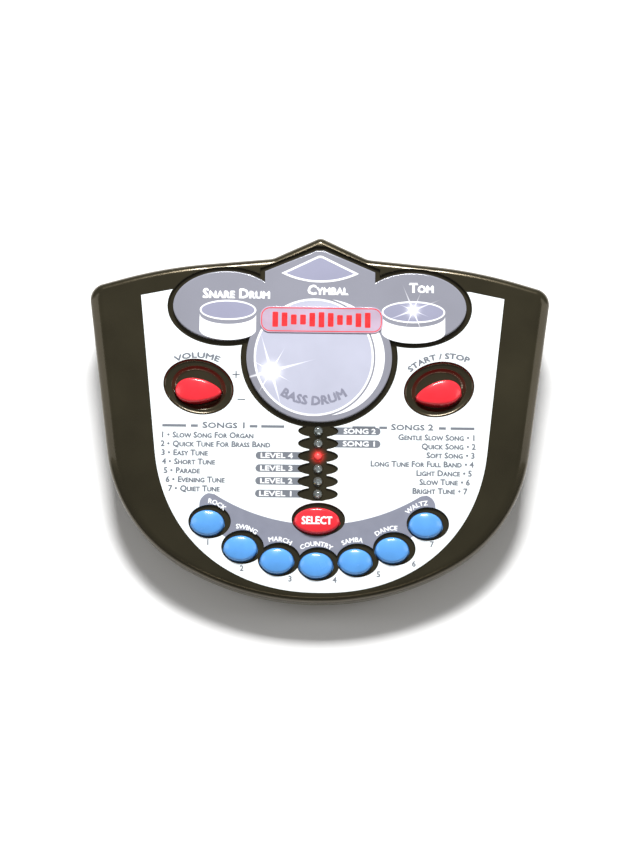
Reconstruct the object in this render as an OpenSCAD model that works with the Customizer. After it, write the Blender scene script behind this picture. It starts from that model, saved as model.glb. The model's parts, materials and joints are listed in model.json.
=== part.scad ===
// Table-top electronic drum pad: a bell-shaped console with a sloped face.
// Face modules use x to the right, y up the slope and z out of the face, from the middle of the face.
// Base modules use x to the right, y to the rear and z up from the table.

/* [Casing] */
// Width across the casing
body_w = 250; // [249:0.5:252]
// Slope of the face towards the player, in degrees
face_tilt = 8; // [7:0.5:9]
// Height of the middle of the face above the table
face_z = 38; // [38:0.5:41]
// Wall thickness of both shells
wall = 2.5; // [2.3:0.1:2.7]
// Depth of the upper shell, measured into the face
upper_depth = 16; // [16:0.5:17]
// How far the lower shell stands in from the upper one
shell_step = 1.5; // [1.2:0.1:1.8]
// Height of the rubber feet under the base
foot_h = 2.5; // [2:0.5:3]

/* [Face] */
// Thickness of the printed label
label_t = 0.5; // [0.4:0.1:0.6]
// Depth of the recess that the label lies in
label_recess = 0.4; // [0.3:0.1:0.4]
// Width of the groove round the drum window
groove_w = 2.5; // [2:0.1:2.8]
// Depth of that groove
groove_depth = 1.6; // [1.4:0.1:1.6]
// Height of the drum window above the face
lens_rise = 1; // [0.6:0.2:1.4]

/* [Buttons] */
// Length of a rhythm button's cap
rhythm_l = 17.8; // [17:0.2:18]
// Width of a rhythm button's cap
rhythm_w = 13.7; // [13:0.1:14]
// Radius of the arc that the rhythm buttons lie on
rhythm_arc_r = 87.9; // [87:0.1:88.5]
// Length of the select button's cap
select_l = 24.3; // [24:0.1:25]
// Width of the select button's cap
select_w = 14; // [13.5:0.1:14.2]
// Length of the rocker and of the start button
egg_l = 24.9; // [24:0.1:25.2]
// Width of the rocker and of the start button
egg_w = 12.9; // [12.6:0.1:13.2]
// Travel of every push button
travel = 1.5; // [1.2:0.1:1.5]
// Gap between a cap and the hole it slides in
cap_gap = 0.45; // [0.35:0.05:0.5]

/* [Lights] */
// Diameter of an indicator light
led_d = 4.8; // [4.6:0.1:4.8]
// Distance from one indicator light to the next
led_pitch = 6.85; // [6.8:0.05:6.9]

/* [Power and sound] */
// Diameter of the loudspeaker
speaker_d = 50; // [49:0.5:50]
// Diameter of a battery
cell_d = 14.2; // [14:0.1:14.5]
// Length of a battery without its button
cell_l = 49; // [48.5:0.5:49.5]

/* [Hidden] */
$fn = 48;
e = 0.01;
SIDES = [-1, 1];
RHYTHMS = 7;
LIGHTS = concat(
    [for (n = [2:-1:1]) str("song_", n, "_light")],
    [for (n = [4:-1:1]) str("level_", n, "_light")]
);

case_black = "#2b2620";
print_white = "#f2f4f6";
key_red = "#d8303a";
key_blue = "#3f86d6";
smoke = "#9698a6";
board_tan = "#a9763f";
steel = "#b9bcc0";
mat_grey = "#8c9094";

// Corners of the casing's outline, each [x, y, radius], from the front middle up the right side
side_x = body_w / 2;
right_corners = [
    [side_x - 17.6, -59.1, 83],
    [side_x + 1.05, 73.7, 9],
    [85.1, 85.6, 250],
    [26, 91.2, 10]
];
front_corner = [0, -116.8, 146];
peak_corner = [0, 103.4, 5];

// Levels under the face, along its normal
face_t = 2.6;
well_depth = 1.2;
parting = -upper_depth;
board_t = 1.6;
board_top = -10.4;
mat_t = 0.8;
dome_h = 1.2;
cap_crown = 3.4;
flange_t = 1.1;
flange_lip = 1.2;
flange_top = -face_t - 0.3;
post_tip = board_top + mat_t + dome_h + travel + 0.3;

// The two dishes that hold the rocker and the start button
dish_at = [64.8, 18.7];
dish_l = 38;
dish_w = 29.5;
dish_turn = 15;
dish_steps = [[1, 1], [0.9, 2.1], [0.78, 3], [0.66, 3.6]];
dish_floor = -5.2;
side_board_top = -14.6;
side_board = [36, 24];
side_bosses = [[-15.5, 9.5], [15.5, -9.5]];
rocker_at = [-64.9, 16.3];
rocker_turn = -3;
rocker_axis = -7.2;
rocker_pin_r = 1;
rocker_pin_l = 31;
start_at = [64.5, 16.1];
start_turn = 12;
egg_taper = 0.3;

// The drum window
bass_at = [0, 35.5];
bass = [39.4, 35.7];
lobe_at = [50.6, 63.5];
lobe = [29, 19.3];
window_ledge = 3;
box_depth = 12;
box_wall = 1.6;
lamp_places = [[-50.6, 62], [0, 88], [50.6, 62], [-25.8, 27.5]];
sensor_places = [[-62, 64], [-14, 73], [62, 64], [18, 30]];
box_screws = [[-76.5, 78.2], [76.5, 78.2], [-43, 31.5], [43, 31.5]];

// The printed label
label_top = [98.7, 69];
label_lean = 7.2;
label_r = 89.9;
// Below 1, this makes the label's round front fuller than a circle
label_fullness = 0.91;
label_at = [1.5, -2];

// Rhythm and select buttons, and the indicator lights
arc_at = [-0.4, 10.9];
rhythm_angles = [-41.4, -27.3, -13.7, 0, 13.7, 27.3, 41.4];
// How far the buttons stand in front of that arc, from the middle one outwards
rhythm_bow = [0.4, 0.7, 1.6, 0.3];
well_margin = [2.2, 1.95];
well_shift = [1.2, 0.9];
select_at = [-0.2, -53.6];
select_well = [select_l + 3.8, select_w + 3.6];
select_well_shift = [0.8, 0.9];
light_top = -4.8;
light_well = [21.1, 6.5];
light_spine = 9;
light_foot = 3.6;

// Screws, given as places on the face
case_bosses = [[108, 61], [103, 2], [56, -77]];
board_bosses = [[76, -8], [30, -46], [22, -8]];
boss_r = 3.6;
pilot_r = 1.2;
screw_r = 1.4;
screw_head_r = 2.7;

// Base
base_t = 2.5;
floor_top = foot_h + base_t;
speaker_at = [0, 0];
speaker_seat = 1.5;
clip_angles = [30, 150, 270];
clip_reach = speaker_d / 2 + 4.4;
clip_seat = 1.2;
cell_pitch = 15;
cell_gap = 4.1;
cell_nub = 1;
bay_l = cell_l + 2 * cell_gap;
bay_w = 4 * cell_pitch + 1.4;
bay_front = 30;
bay_rear = bay_front + bay_l;
bay_wall = 1.6;
door_t = 2;
door_pin_r = 0.8;
door_pin_l = 1.2;
cell_z = foot_h + door_t + 0.3 + cell_d / 2;
bay_top = cell_z + cell_d / 2 + 0.8;
door_gap = 0.35;
hinge_y = bay_rear - door_gap - door_t / 2;
foot_r = 7;
foot_sink = 0.8;
feet = [[74, -40], [84, 62]];

// Power switch in the rear wall, on the left
switch_turn = atan2(right_corners[3][1] - right_corners[2][1], right_corners[2][0] - right_corners[3][0]);
switch_x = -58;
switch_y = right_corners[3][1] - (-switch_x - right_corners[3][0]) * tan(switch_turn);
switch_z = -27;
switch_slide = 5;
switch_body = [19, 6, 8];
knob_l = 3.6;
knob_h = 2.6;
wall_out = -shell_step;
wall_in = -shell_step - wall;

// ---------- plane geometry ----------

function unit(v) = v / norm(v);

// The shorter way round from one angle to another
function turn_between(a, b) = (b - a + 540) % 360 - 180;

// The arc that rounds corner b, between its neighbours a and c, in chords of about 5 mm
function corner_arc(a, b, c, r) =
    let(
        to_a = unit(a - b),
        to_c = unit(c - b),
        half = acos(to_a * to_c) / 2,
        reach = r / tan(half),
        centre = b + unit(to_a + to_c) * r / sin(half),
        first = b + to_a * reach - centre,
        last = b + to_c * reach - centre,
        start = atan2(first[1], first[0]),
        sweep = turn_between(start, atan2(last[1], last[0])),
        n = max(ceil(abs(sweep) / 12), ceil(r * abs(sweep) * PI / 180 / 5))
    )
    [for (i = [0:n]) centre + r * [cos(start + sweep * i / n), sin(start + sweep * i / n)]];

// A closed outline with every corner rounded by its own radius
function rounded(corners) =
    let(n = len(corners))
    [for (i = [0:n - 1]) each corner_arc(
        [corners[(i + n - 1) % n][0], corners[(i + n - 1) % n][1]],
        [corners[i][0], corners[i][1]],
        [corners[(i + 1) % n][0], corners[(i + 1) % n][1]],
        corners[i][2]
    )];

function mirrored(corners) =
    [for (i = [len(corners) - 1:-1:0]) [-corners[i][0], corners[i][1], corners[i][2]]];

// An oval, or an egg that narrows towards +x when taper is above 0
function egg(l, w, taper) =
    [for (t = [0:7.5:359]) [l / 2 * cos(t), w / 2 * sin(t) * (1 - taper * cos(t))]];

casing_outline = rounded(concat([front_corner], right_corners, [peak_corner], mirrored(right_corners)));
front_y = min([for (p = casing_outline) p[1]]);
rear_y = max([for (p = casing_outline) p[1]]);

// Middle of the whole object, front to rear, on the table
rim = 4.2;
low_front = front_y * cos(face_tilt) + rim * sin(face_tilt);
tail = rear_y - shell_step;
low_rear = tail * cos(face_tilt) + (face_z - foot_h + tail * sin(face_tilt)) * tan(face_tilt);
middle_y = (low_front + low_rear) / 2;

module on_face(at = [0, 0], turn = 0) {
    translate([0, -middle_y, face_z])
        rotate([face_tilt, 0, 0])
            translate([at[0], at[1], 0])
                rotate([0, 0, turn])
                    children();
}

module on_base() {
    translate([0, -middle_y, 0]) children();
}

module slab(from, to) {
    translate([0, 0, from])
        linear_extrude(height = to - from)
            children();
}

module rod(r, from, to, n = $fn) {
    translate([0, 0, from])
        cylinder(r = r, h = to - from, $fn = n);
}

module ring(outer, inner, from, to) {
    difference() {
        rod(outer, from, to);
        rod(inner, from - 1, to + 1);
    }
}

module block(size, from) {
    translate([-size[0] / 2, -size[1] / 2, from])
        cube(size);
}

module at_each(places) {
    for (p = places)
        translate([p[0], p[1], 0])
            children();
}

// Puts a copy on each side of the middle
module both_sides(places) {
    at_each([for (s = SIDES, p = places) [s * p[0], p[1]]])
        children();
}

module casing_plan(inset) {
    if (inset == 0)
        polygon(casing_outline);
    else
        offset(r = -inset)
            polygon(casing_outline);
}

module oval_plan(l, w) {
    polygon(egg(l, w, 0));
}

module egg_plan(grow) {
    polygon(egg(egg_l + 2 * grow, egg_w + 2 * grow, egg_taper));
}

module window_plan(grow) {
    offset(r = grow)
        union() {
            translate(bass_at) oval_plan(2 * bass[0], 2 * bass[1]);
            for (s = SIDES)
                translate([s * lobe_at[0], lobe_at[1]])
                    oval_plan(2 * lobe[0], 2 * lobe[1]);
            polygon([[-30, 60], [30, 60], [30, 83], [2, 94.9], [-2, 94.9], [-30, 83]]);
        }
}

function full(t) = [for (c = [cos(t), sin(t)]) sign(c) * pow(abs(c), label_fullness)];

module label_plan() {
    arc = [for (t = [-180 + label_lean:5.52:-label_lean]) [0, label_at[1]] + label_r * full(t)];
    translate([label_at[0], 0])
        polygon(concat(arc, [label_top, [80, 72.8], [-80, 72.8], [-label_top[0], label_top[1]]]));
}

function rhythm_at(i) =
    arc_at + rhythm_arc_r * [sin(rhythm_angles[i]), -cos(rhythm_angles[i])]
    - [0, rhythm_bow[abs(i - floor(RHYTHMS / 2))]];
function light_at(i) = [0, light_top - i * led_pitch];

module rhythm_places() {
    for (i = [0:RHYTHMS - 1])
        translate(rhythm_at(i))
            children();
}

module rhythm_well_plan(grow) {
    translate(well_shift)
        oval_plan(rhythm_l + 2 * (well_margin[0] + grow), rhythm_w + 2 * (well_margin[1] + grow));
}

module select_well_plan(grow) {
    translate(select_at + select_well_shift)
        oval_plan(select_well[0] + 2 * grow, select_well[1] + 2 * grow);
}

module light_wells(grow) {
    for (i = [0:len(LIGHTS) - 1])
        translate(light_at(i))
            oval_plan(light_well[0] + 2 * grow, light_well[1] + 2 * grow);
    translate([-light_spine / 2 - grow, light_at(5)[1] - light_foot])
        square([light_spine + 2 * grow, 5 * led_pitch + light_foot + light_spine / 2]);
}

// ---------- casing ----------

module upper_skin() {
    slab(parting, -rim) casing_plan(0);
    slab(-rim, -2) casing_plan(0.8);
    slab(-2, -0.8) casing_plan(2);
    slab(-0.8, 0) casing_plan(3.8);
}

module dish(side) {
    translate([side * dish_at[0], dish_at[1], 0])
        rotate([0, 0, side * dish_turn])
            children();
}

module dish_cut() {
    for (s = dish_steps)
        slab(-s[1], 1)
            oval_plan(dish_l * s[0], dish_w * s[0]);
}

module rocker_ears() {
    translate([rocker_at[0], rocker_at[1], 0])
        rotate([0, 0, rocker_turn])
            difference() {
                for (s = SIDES)
                    translate([s * (rocker_pin_l / 2 - 1), 0, 0])
                        block([2, 6, 5.3], rocker_axis - 3);
                translate([0, 0, rocker_axis])
                    rotate([0, 90, 0])
                        cylinder(r = rocker_pin_r, h = 40, center = true);
            }
}

module screw_boss(top, bottom) {
    difference() {
        rod(boss_r, bottom, top + e);
        rod(pilot_r, bottom - 1, top - 1);
    }
}

module upper_bosses() {
    both_sides(case_bosses) screw_boss(-face_t, parting);
    both_sides(board_bosses) screw_boss(-face_t, board_top);
    at_each(box_screws) screw_boss(-face_t, -box_depth + box_wall);
    for (s = SIDES)
        dish(s)
            at_each(side_bosses)
                screw_boss(-face_t, side_board_top);
}

module upper_cuts() {
    slab(-label_recess, 1) label_plan();
    slab(-groove_depth, 1) window_plan(groove_w);
    slab(-5, 1) window_plan(-window_ledge);
    for (s = SIDES)
        dish(s) dish_cut();
    translate([rocker_at[0], rocker_at[1], 0])
        rotate([0, 0, rocker_turn])
            slab(-9, 1) egg_plan(cap_gap + 0.2);
    translate([start_at[0], start_at[1], 0])
        rotate([0, 0, start_turn + 180])
            slab(-9, 1) egg_plan(cap_gap);
    rhythm_places() {
        slab(-well_depth, 1) rhythm_well_plan(0);
        slab(-5, 1) oval_plan(rhythm_l + 2 * cap_gap, rhythm_w + 2 * cap_gap);
    }
    slab(-well_depth, 1) select_well_plan(0);
    translate(select_at)
        slab(-5, 1) oval_plan(select_l + 2 * cap_gap, select_w + 2 * cap_gap);
    slab(-1, 1) light_wells(0);
    for (i = [0:len(LIGHTS) - 1])
        translate(light_at(i))
            rod(led_d / 2 + 0.1, -5, 1);
}

module upper_shell() {
    color(case_black)
        on_face()
            difference() {
                union() {
                    difference() {
                        upper_skin();
                        slab(parting - 1, -face_t) casing_plan(wall);
                    }
                    for (s = SIDES)
                        dish(s) slab(dish_floor, -face_t + e) oval_plan(dish_l + 3, dish_w + 3);
                    rocker_ears();
                    upper_bosses();
                }
                upper_cuts();
            }
}

// Everything above a level of the base
module above(z) {
    on_base()
        translate([-200, -200, z])
            cube([400, 400, 100]);
}

module lower_tub() {
    difference() {
        intersection() {
            on_face() slab(-80, parting) casing_plan(shell_step);
            above(foot_h);
        }
        intersection() {
            on_face() slab(-80, parting + 1) casing_plan(shell_step + wall);
            above(floor_top);
        }
    }
}

module screw_towers(r) {
    intersection() {
        on_face() both_sides(case_bosses) rod(r, -80, parting);
        above(foot_h);
    }
}

module battery_bay() {
    base = floor_top - e;
    on_base()
        translate([0, bay_front + bay_l / 2, 0])
            difference() {
                block([bay_w + 2 * bay_wall, bay_l + 2 * bay_wall, bay_top + bay_wall - base], base);
                block([bay_w, bay_l, bay_top], 0);
            }
}

module door_opening() {
    on_base()
        translate([0, bay_front + bay_l / 2, 0])
            block([bay_w, bay_l, bay_top - 1], 1);
}

module grille() {
    on_base()
        translate([speaker_at[0], speaker_at[1], 0]) {
            rod(1.5, 0, 10, 16);
            for (n = [1:3], k = [0:6 * n - 1])
                rotate([0, 0, 360 * k / (6 * n)])
                    translate([6.5 * n, 0, 0])
                        rod(1.5, 0, 10, 16);
        }
}

module at_switch() {
    on_face([switch_x, switch_y], switch_turn)
        translate([0, 0, switch_z])
            children();
}

module lower_shell() {
    color(case_black)
        difference() {
            union() {
                lower_tub();
                screw_towers(boss_r + 1.4);
                battery_bay();
                on_base()
                    translate([speaker_at[0], speaker_at[1], 0])
                        ring(
                            speaker_d / 2 + 1.6,
                            speaker_d / 2 - 3,
                            floor_top - e,
                            floor_top + speaker_seat
                        );
                at_speaker()
                    at_clips()
                        rod(boss_r, -speaker_seat - e, clip_seat);
            }
            at_speaker()
                at_clips()
                    rod(pilot_r, -1.2, clip_seat + 1);
            on_face() both_sides(case_bosses) rod(1.6, -80, parting + 1);
            on_face() both_sides(case_bosses) rod(screw_head_r + 0.5, -80, parting - 4);
            door_opening();
            hinge_bar(door_pin_r + 0.08, bay_w + 2 * door_pin_l);
            grille();
            on_base() both_sides(feet) rod(foot_r + 0.1, 0, foot_h + foot_sink);
            at_switch()
                translate([0, wall_out, 0])
                    cube([switch_slide + knob_l + 1.6, 3 * wall, knob_h + 1.4], center = true);
        }
}

// ---------- face ----------

module face_label() {
    color(print_white)
        on_face()
            difference() {
                slab(-label_recess, label_t - label_recess) label_plan();
                slab(-1, 1) window_plan(groove_w + 0.3);
                for (s = SIDES)
                    dish(s) slab(-1, 1) oval_plan(dish_l + 0.6, dish_w + 0.6);
                rhythm_places()
                    slab(-1, 1) rhythm_well_plan(0.2);
                slab(-1, 1) select_well_plan(0.2);
                slab(-1, 1) light_wells(0.3);
            }
}

module drum_window() {
    color(smoke, 0.6)
        on_face()
            slab(-groove_depth, lens_rise) window_plan(0);
}

module badge_plate() {
    color(key_red)
        on_face([1, 56])
            slab(lens_rise, lens_rise + 0.6)
                offset(r = 4)
                    square([59, 7], center = true);
}

module light_box() {
    color("white")
        on_face()
            difference() {
                union() {
                    slab(-box_depth, -face_t) window_plan(-2);
                    at_each(box_screws) rod(boss_r + 0.8, -box_depth, -box_depth + box_wall);
                    slab(-box_depth, -box_depth + box_wall) box_ears();
                }
                slab(-box_depth + box_wall, 0) window_plan(-2 - box_wall);
                at_each(lamp_places) rod(2.6, -box_depth - 1, 0);
                at_each(box_screws) rod(screw_r + 0.1, -box_depth - 1, 0);
            }
}

// Webs that join the light box's screw eyes to its floor
module box_ears() {
    for (s = SIDES) {
        polygon([[s * 68, 72], [s * 73, 81], [s * 79, 76], [s * 74, 68]]);
        polygon([[s * 34, 31], [s * 34, 36], [s * 44, 35], [s * 44, 28]]);
    }
}

module lamp_board() {
    color(board_tan)
        on_face()
            difference() {
                union() {
                    slab(-box_depth - board_t, -box_depth) window_plan(-2);
                    slab(-box_depth - board_t, -box_depth) box_ears();
                    at_each(box_screws) rod(boss_r + 0.8, -box_depth - board_t, -box_depth);
                }
                at_each(box_screws) rod(screw_r + 0.1, -20, 0);
            }
}

// A lamp on two leads that reach down to its board
module lamp(board, body_bottom, shoulder) {
    r = led_d / 2;
    rod(r, body_bottom, shoulder);
    rod(r + 0.35, body_bottom, body_bottom + 0.9);
    translate([0, 0, shoulder]) sphere(r = r);
    for (s = SIDES)
        translate([s * 1.27, 0, 0])
            rod(0.25, board, body_bottom + e, 16);
}

module drum_lamp(i) {
    color("white")
        on_face(lamp_places[i])
            lamp(-box_depth, -box_depth + box_wall, -box_depth + 7);
}

module tap_sensors() {
    color("goldenrod")
        on_face()
            at_each(sensor_places) {
                rod(8, -box_depth + box_wall, -box_depth + box_wall + 0.3);
                rod(5.5, -box_depth + box_wall, -box_depth + box_wall + 0.6);
            }
}

module pan_screw(head_top, length) {
    rod(screw_head_r, head_top, head_top + 1.8);
    rod(pilot_r, head_top + 1.8 - e, head_top + 1.8 + length);
}

module light_box_screws() {
    color(steel)
        on_face()
            at_each(box_screws) pan_screw(-box_depth - board_t - 1.8, 7);
}

// ---------- boards and mats ----------

module main_board() {
    color(board_tan)
        on_face()
            difference() {
                slab(board_top - board_t, board_top)
                    difference() {
                        translate([0, label_at[1]]) circle(r = 86, $fn = 96);
                        translate([-100, 0.5]) square([200, 100]);
                        for (s = SIDES)
                            translate([s * 56, -77]) circle(r = boss_r + 1.2);
                    }
                both_sides(board_bosses) rod(screw_r + 0.1, -20, 0);
            }
}

module board_screws() {
    color(steel)
        on_face() {
            both_sides(board_bosses) pan_screw(board_top - board_t - 1.8, 5);
            for (s = SIDES)
                dish(s)
                    at_each(side_bosses)
                        pan_screw(side_board_top - board_t - 1.8, 5);
        }
}

module sound_chip() {
    color("#1c1c1e")
        on_face([-34, -24]) {
            block([18, 7.6, 2.6], board_top - board_t - 3);
            for (s = SIDES, k = [-4:4])
                translate([k * 1.9, s * 4.3, 0])
                    block([0.5, 1.4, 1.6], board_top - board_t - 1.6);
        }
}

module capacitors() {
    color("#27456e")
        on_face()
            for (x = [38, 48, 58])
                translate([x, -26, 0])
                    rod(3.2, board_top - board_t - 7, board_top - board_t);
}

module contact_dome(base) {
    rod(5, base, base + mat_t);
    translate([0, 0, base + mat_t - e])
        cylinder(r1 = 4.2, r2 = 3, h = dome_h);
}

module rhythm_mat() {
    color(mat_grey)
        on_face() {
            slab(board_top, board_top + mat_t)
                polygon(concat(
                    [for (t = [-46:4:46]) arc_at + (rhythm_arc_r + 5) * [sin(t), -cos(t)]],
                    [for (t = [46:-4:-46]) arc_at + (rhythm_arc_r - 5) * [sin(t), -cos(t)]]
                ));
            slab(board_top, board_top + mat_t)
                polygon([[-4, -74], [4, -74], [4, -52], [-4, -52]]);
            rhythm_places() contact_dome(board_top);
            translate(select_at) contact_dome(board_top);
        }
}

module side_boards() {
    color(board_tan)
        on_face()
            for (s = SIDES)
                dish(s)
                    difference() {
                        block([side_board[0], side_board[1], board_t], side_board_top - board_t);
                        at_each(side_bosses) rod(screw_r + 0.1, -20, 0);
                    }
}

module volume_mat() {
    color(mat_grey)
        on_face(rocker_at, rocker_turn) {
            block([10, 20, mat_t], side_board_top);
            for (s = SIDES)
                translate([0, s * 4.8, 0]) contact_dome(side_board_top);
        }
}

module start_mat() {
    color(mat_grey)
        on_face(start_at, start_turn) {
            block([12, 12, mat_t], side_board_top);
            contact_dome(side_board_top);
        }
}

// ---------- moving keys ----------

// A domed cap over a flange and a centre post; children is its plan
module key(crown, crown_r, flange_z, tip) {
    intersection() {
        slab(flange_z - flange_t, crown + 1) children(0);
        translate([0, 0, crown - crown_r]) sphere(r = crown_r, $fn = 96);
    }
    slab(flange_z - flange_t, flange_z) children(1);
    rod(2.4, tip, flange_z - flange_t + e);
}

module rhythm_button(i) {
    color(key_blue)
        on_face(rhythm_at(i))
            key(cap_crown, 20, flange_top, post_tip) {
                oval_plan(rhythm_l, rhythm_w);
                oval_plan(rhythm_l + 2 * flange_lip, rhythm_w + 2 * flange_lip);
            }
}

module select_button() {
    color(key_red)
        on_face(select_at)
            key(cap_crown, 34, flange_top, post_tip) {
                oval_plan(select_l, select_w);
                oval_plan(select_l + 2 * flange_lip, select_w + 2 * flange_lip);
            }
}

module start_stop_button() {
    color(key_red)
        on_face(start_at, start_turn + 180)
            key(cap_crown, 34, dish_floor - 0.3, side_board_top + mat_t + dome_h + travel + 0.3) {
                egg_plan(0);
                egg_plan(flange_lip);
            }
}

module volume_rocker() {
    color(key_red)
        on_face(rocker_at, rocker_turn)
            difference() {
                union() {
                    intersection() {
                        slab(-6, cap_crown) egg_plan(0);
                        translate([0, 0, cap_crown - 34]) sphere(r = 34, $fn = 96);
                    }
                    translate([0, 0, rocker_axis])
                        rotate([0, 90, 0])
                            cylinder(r = 2.4, h = 20, center = true);
                    for (s = SIDES)
                        translate([0, s * 4.8, 0])
                            block([5, 2.4, 6], side_board_top + mat_t + dome_h + 0.9);
                }
                translate([0, 0, rocker_axis])
                    rotate([0, 90, 0])
                        cylinder(r = rocker_pin_r + 0.05, h = 40, center = true);
            }
}

module rocker_pin() {
    color(steel)
        on_face(rocker_at, rocker_turn)
            translate([0, 0, rocker_axis])
                rotate([0, 90, 0])
                    cylinder(r = rocker_pin_r, h = rocker_pin_l, center = true);
}

module indicator(i) {
    color("#c9d0cf")
        on_face(light_at(i))
            lamp(board_top, -face_t - 0.9, -0.6);
}

// ---------- loudspeaker ----------

module at_speaker() {
    on_base()
        translate([speaker_at[0], speaker_at[1], floor_top + speaker_seat])
            children();
}

module speaker_basket() {
    r = speaker_d / 2;
    color("#6f7478")
        at_speaker() {
            rotate_extrude()
                polygon([
                    [r - 4, 0], [r, 0], [r, 1.2], [r - 3, 1.2], [r - 6, 7.6],
                    [14, 9.6], [9, 9.6], [9, 8.4], [13.5, 8.4], [r - 7, 6.6]
                ]);
            translate([r - 9, 0, 0]) block([6, 9, 2], 6.8);
        }
}

module speaker_magnet() {
    color("#3b3d40")
        at_speaker() {
            rod(13, 9.6, 10.6);
            rod(14.5, 10.6 - e, 14.6);
            rod(12.5, 14.6 - e, 15.6);
            rod(6, 5.4, 9.7);
        }
}

module speaker_cone() {
    r = speaker_d / 2;
    color("#2a2a2c")
        at_speaker()
            rotate_extrude()
                polygon([
                    [r - 4.4, 0.3], [r - 4.4, 0.7], [r - 6.6, 1.6],
                    [8, 5.2], [7, 8.2], [6.4, 8.2], [7.4, 4.8]
                ]);
}

module speaker_dust_cap() {
    color("#202022")
        at_speaker()
            intersection() {
                translate([0, 0, 4.9 + 10.5]) ring_ball(12.6, 12.1);
                rod(7.4, 2, 4.9);
            }
}

module ring_ball(outer, inner) {
    difference() {
        sphere(r = outer);
        sphere(r = inner);
    }
}

module at_clips() {
    for (a = clip_angles)
        rotate([0, 0, a])
            translate([clip_reach, 0, 0])
                children();
}

module speaker_clips() {
    color(steel)
        at_speaker()
            at_clips() {
                translate([-2, 0, 0]) block([9, 6, 0.8], clip_seat);
                rod(screw_head_r, clip_seat + 0.8 - e, clip_seat + 2.4);
                rod(pilot_r, -1, clip_seat + 0.8);
            }
}

// ---------- power ----------

module cell(i) {
    flip = i % 2 == 0 ? 0 : 180;
    on_base()
        translate([(i - 1.5) * cell_pitch, bay_front + bay_l / 2, cell_z])
            rotate([0, 0, flip])
                rotate([90, 0, 0]) {
                    cylinder(d = cell_d, h = cell_l, center = true);
                    cylinder(d = 5.4, h = cell_l / 2 + cell_nub);
                }
}

module battery(i) {
    color("#3c6e46") cell(i);
}

// A contact lies against the bay's end wall; end is -1 at the front and 1 at the rear
module at_contact(i, end) {
    on_base()
        translate([(i - 1.5) * cell_pitch, bay_front + bay_l / 2 + end * bay_l / 2, cell_z])
            rotate([end * 90, 0, 0])
                children();
}

function spring_end(i) = i % 2 == 0 ? 1 : -1;

module battery_springs() {
    color(steel)
        for (i = [0:3])
            at_contact(i, spring_end(i)) {
                block([11, 10, 0.4], 0);
                for (k = [0:4])
                    translate([0, 0, 0.85 + k * (cell_gap - 1.3) / 4])
                        rotate_extrude()
                            translate([4.6 - 0.4 * k, 0]) circle(r = 0.45, $fn = 16);
            }
}

module contact_plates() {
    color(steel)
        for (i = [0:3])
            at_contact(i, -spring_end(i)) {
                block([11, 10, 0.4], 0);
                rod(2.6, 0, cell_gap - cell_nub);
            }
}

// A bar along the line that the battery door turns on
module hinge_bar(r, l) {
    on_base()
        translate([0, hinge_y, foot_h + door_t / 2])
            rotate([0, 90, 0])
                cylinder(r = r, h = l, center = true);
}

module battery_door() {
    w = bay_w - 2 * door_gap;
    front = bay_front + door_gap;
    color(case_black) {
        hinge_bar(door_t / 2, w);
        hinge_bar(door_pin_r, w + 2 * door_pin_l);
        on_base()
            difference() {
                union() {
                    translate([0, (front + hinge_y) / 2, 0])
                        block([w, hinge_y - front, door_t], foot_h);
                    translate([0, front + 0.8, 0])
                        block([14, 1.6, 2], foot_h + door_t - e);
                }
                for (k = [0:4])
                    translate([0, bay_front + 8 + 2.2 * k, 0])
                        block([16, 1, 1], foot_h - 0.4);
            }
    }
}

module power_switch() {
    color("#4a4d50")
        at_switch()
            difference() {
                translate([0, wall_in - 0.1 - switch_body[1] / 2, 0])
                    cube(switch_body, center = true);
                translate([0, wall_in, 0])
                    cube([switch_slide + knob_l + 1.6, 7, knob_h + 0.6], center = true);
            }
}

module switch_knob() {
    inner = wall_in - 3;
    outer = wall_out + 1.2;
    color("#d8d8d2")
        at_switch()
            translate([-switch_slide / 2, 0, 0]) {
                translate([-knob_l / 2, inner, -knob_h / 2]) cube([knob_l, outer - inner, knob_h]);
                for (k = [-1:1])
                    translate([k * 1.2 - 0.35, outer - e, -knob_h / 2]) cube([0.7, 0.6, knob_h]);
            }
}

// ---------- wires and fasteners ----------

// Height of the main board's underside at a distance y to the rear
function under_board(y) = face_z + y * tan(face_tilt) + (board_top - board_t) / cos(face_tilt);

// A point of the smooth curve that a few handles steer, for t from 0 to 1
function curve(handles, t) =
    len(handles) == 1
        ? handles[0]
        : curve([for (i = [0:len(handles) - 2]) handles[i] * (1 - t) + handles[i + 1] * t], t);

// A round wire swept along that curve
module wire(handles, r) {
    runs = 8;
    sides = 8;
    points = [for (i = [0:runs]) curve(handles, i / runs)];
    rings = [
        for (i = [0:runs])
            let(
                along = unit(points[min(i + 1, runs)] - points[max(i - 1, 0)]),
                across = unit(cross(along, [0, 0, 1])),
                up = cross(across, along)
            )
            for (k = [0:sides - 1])
                points[i] + r * (across * cos(360 * k / sides) + up * sin(360 * k / sides))
    ];
    walls = [
        for (i = [0:runs - 1], k = [0:sides - 1])
            let(a = i * sides + k, b = i * sides + (k + 1) % sides)
            [a, b, b + sides, a + sides]
    ];
    first_end = [for (k = [sides - 1:-1:0]) k];
    last_end = [for (k = [0:sides - 1]) runs * sides + k];
    polyhedron(rings, concat(walls, [first_end, last_end]));
}

module speaker_wires() {
    tag = [speaker_d / 2 - 8, 3, floor_top + speaker_seat + 8.8];
    color("#b03030")
        on_base()
            for (s = SIDES)
                wire([
                    [tag[0], s * tag[1], tag[2]],
                    [tag[0] + 9, s * tag[1] - 2, tag[2] + 2],
                    [tag[0] + 15, s * tag[1] - 6, under_board(s * tag[1] - 6)]
                ], 0.6);
}

module battery_wires() {
    color("#303030")
        on_base()
            for (s = SIDES)
                wire([
                    [s * 20, bay_front - bay_wall, 14],
                    [s * 28, 20, 18],
                    [s * 38, -5, under_board(-5)]
                ], 0.6);
}

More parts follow.
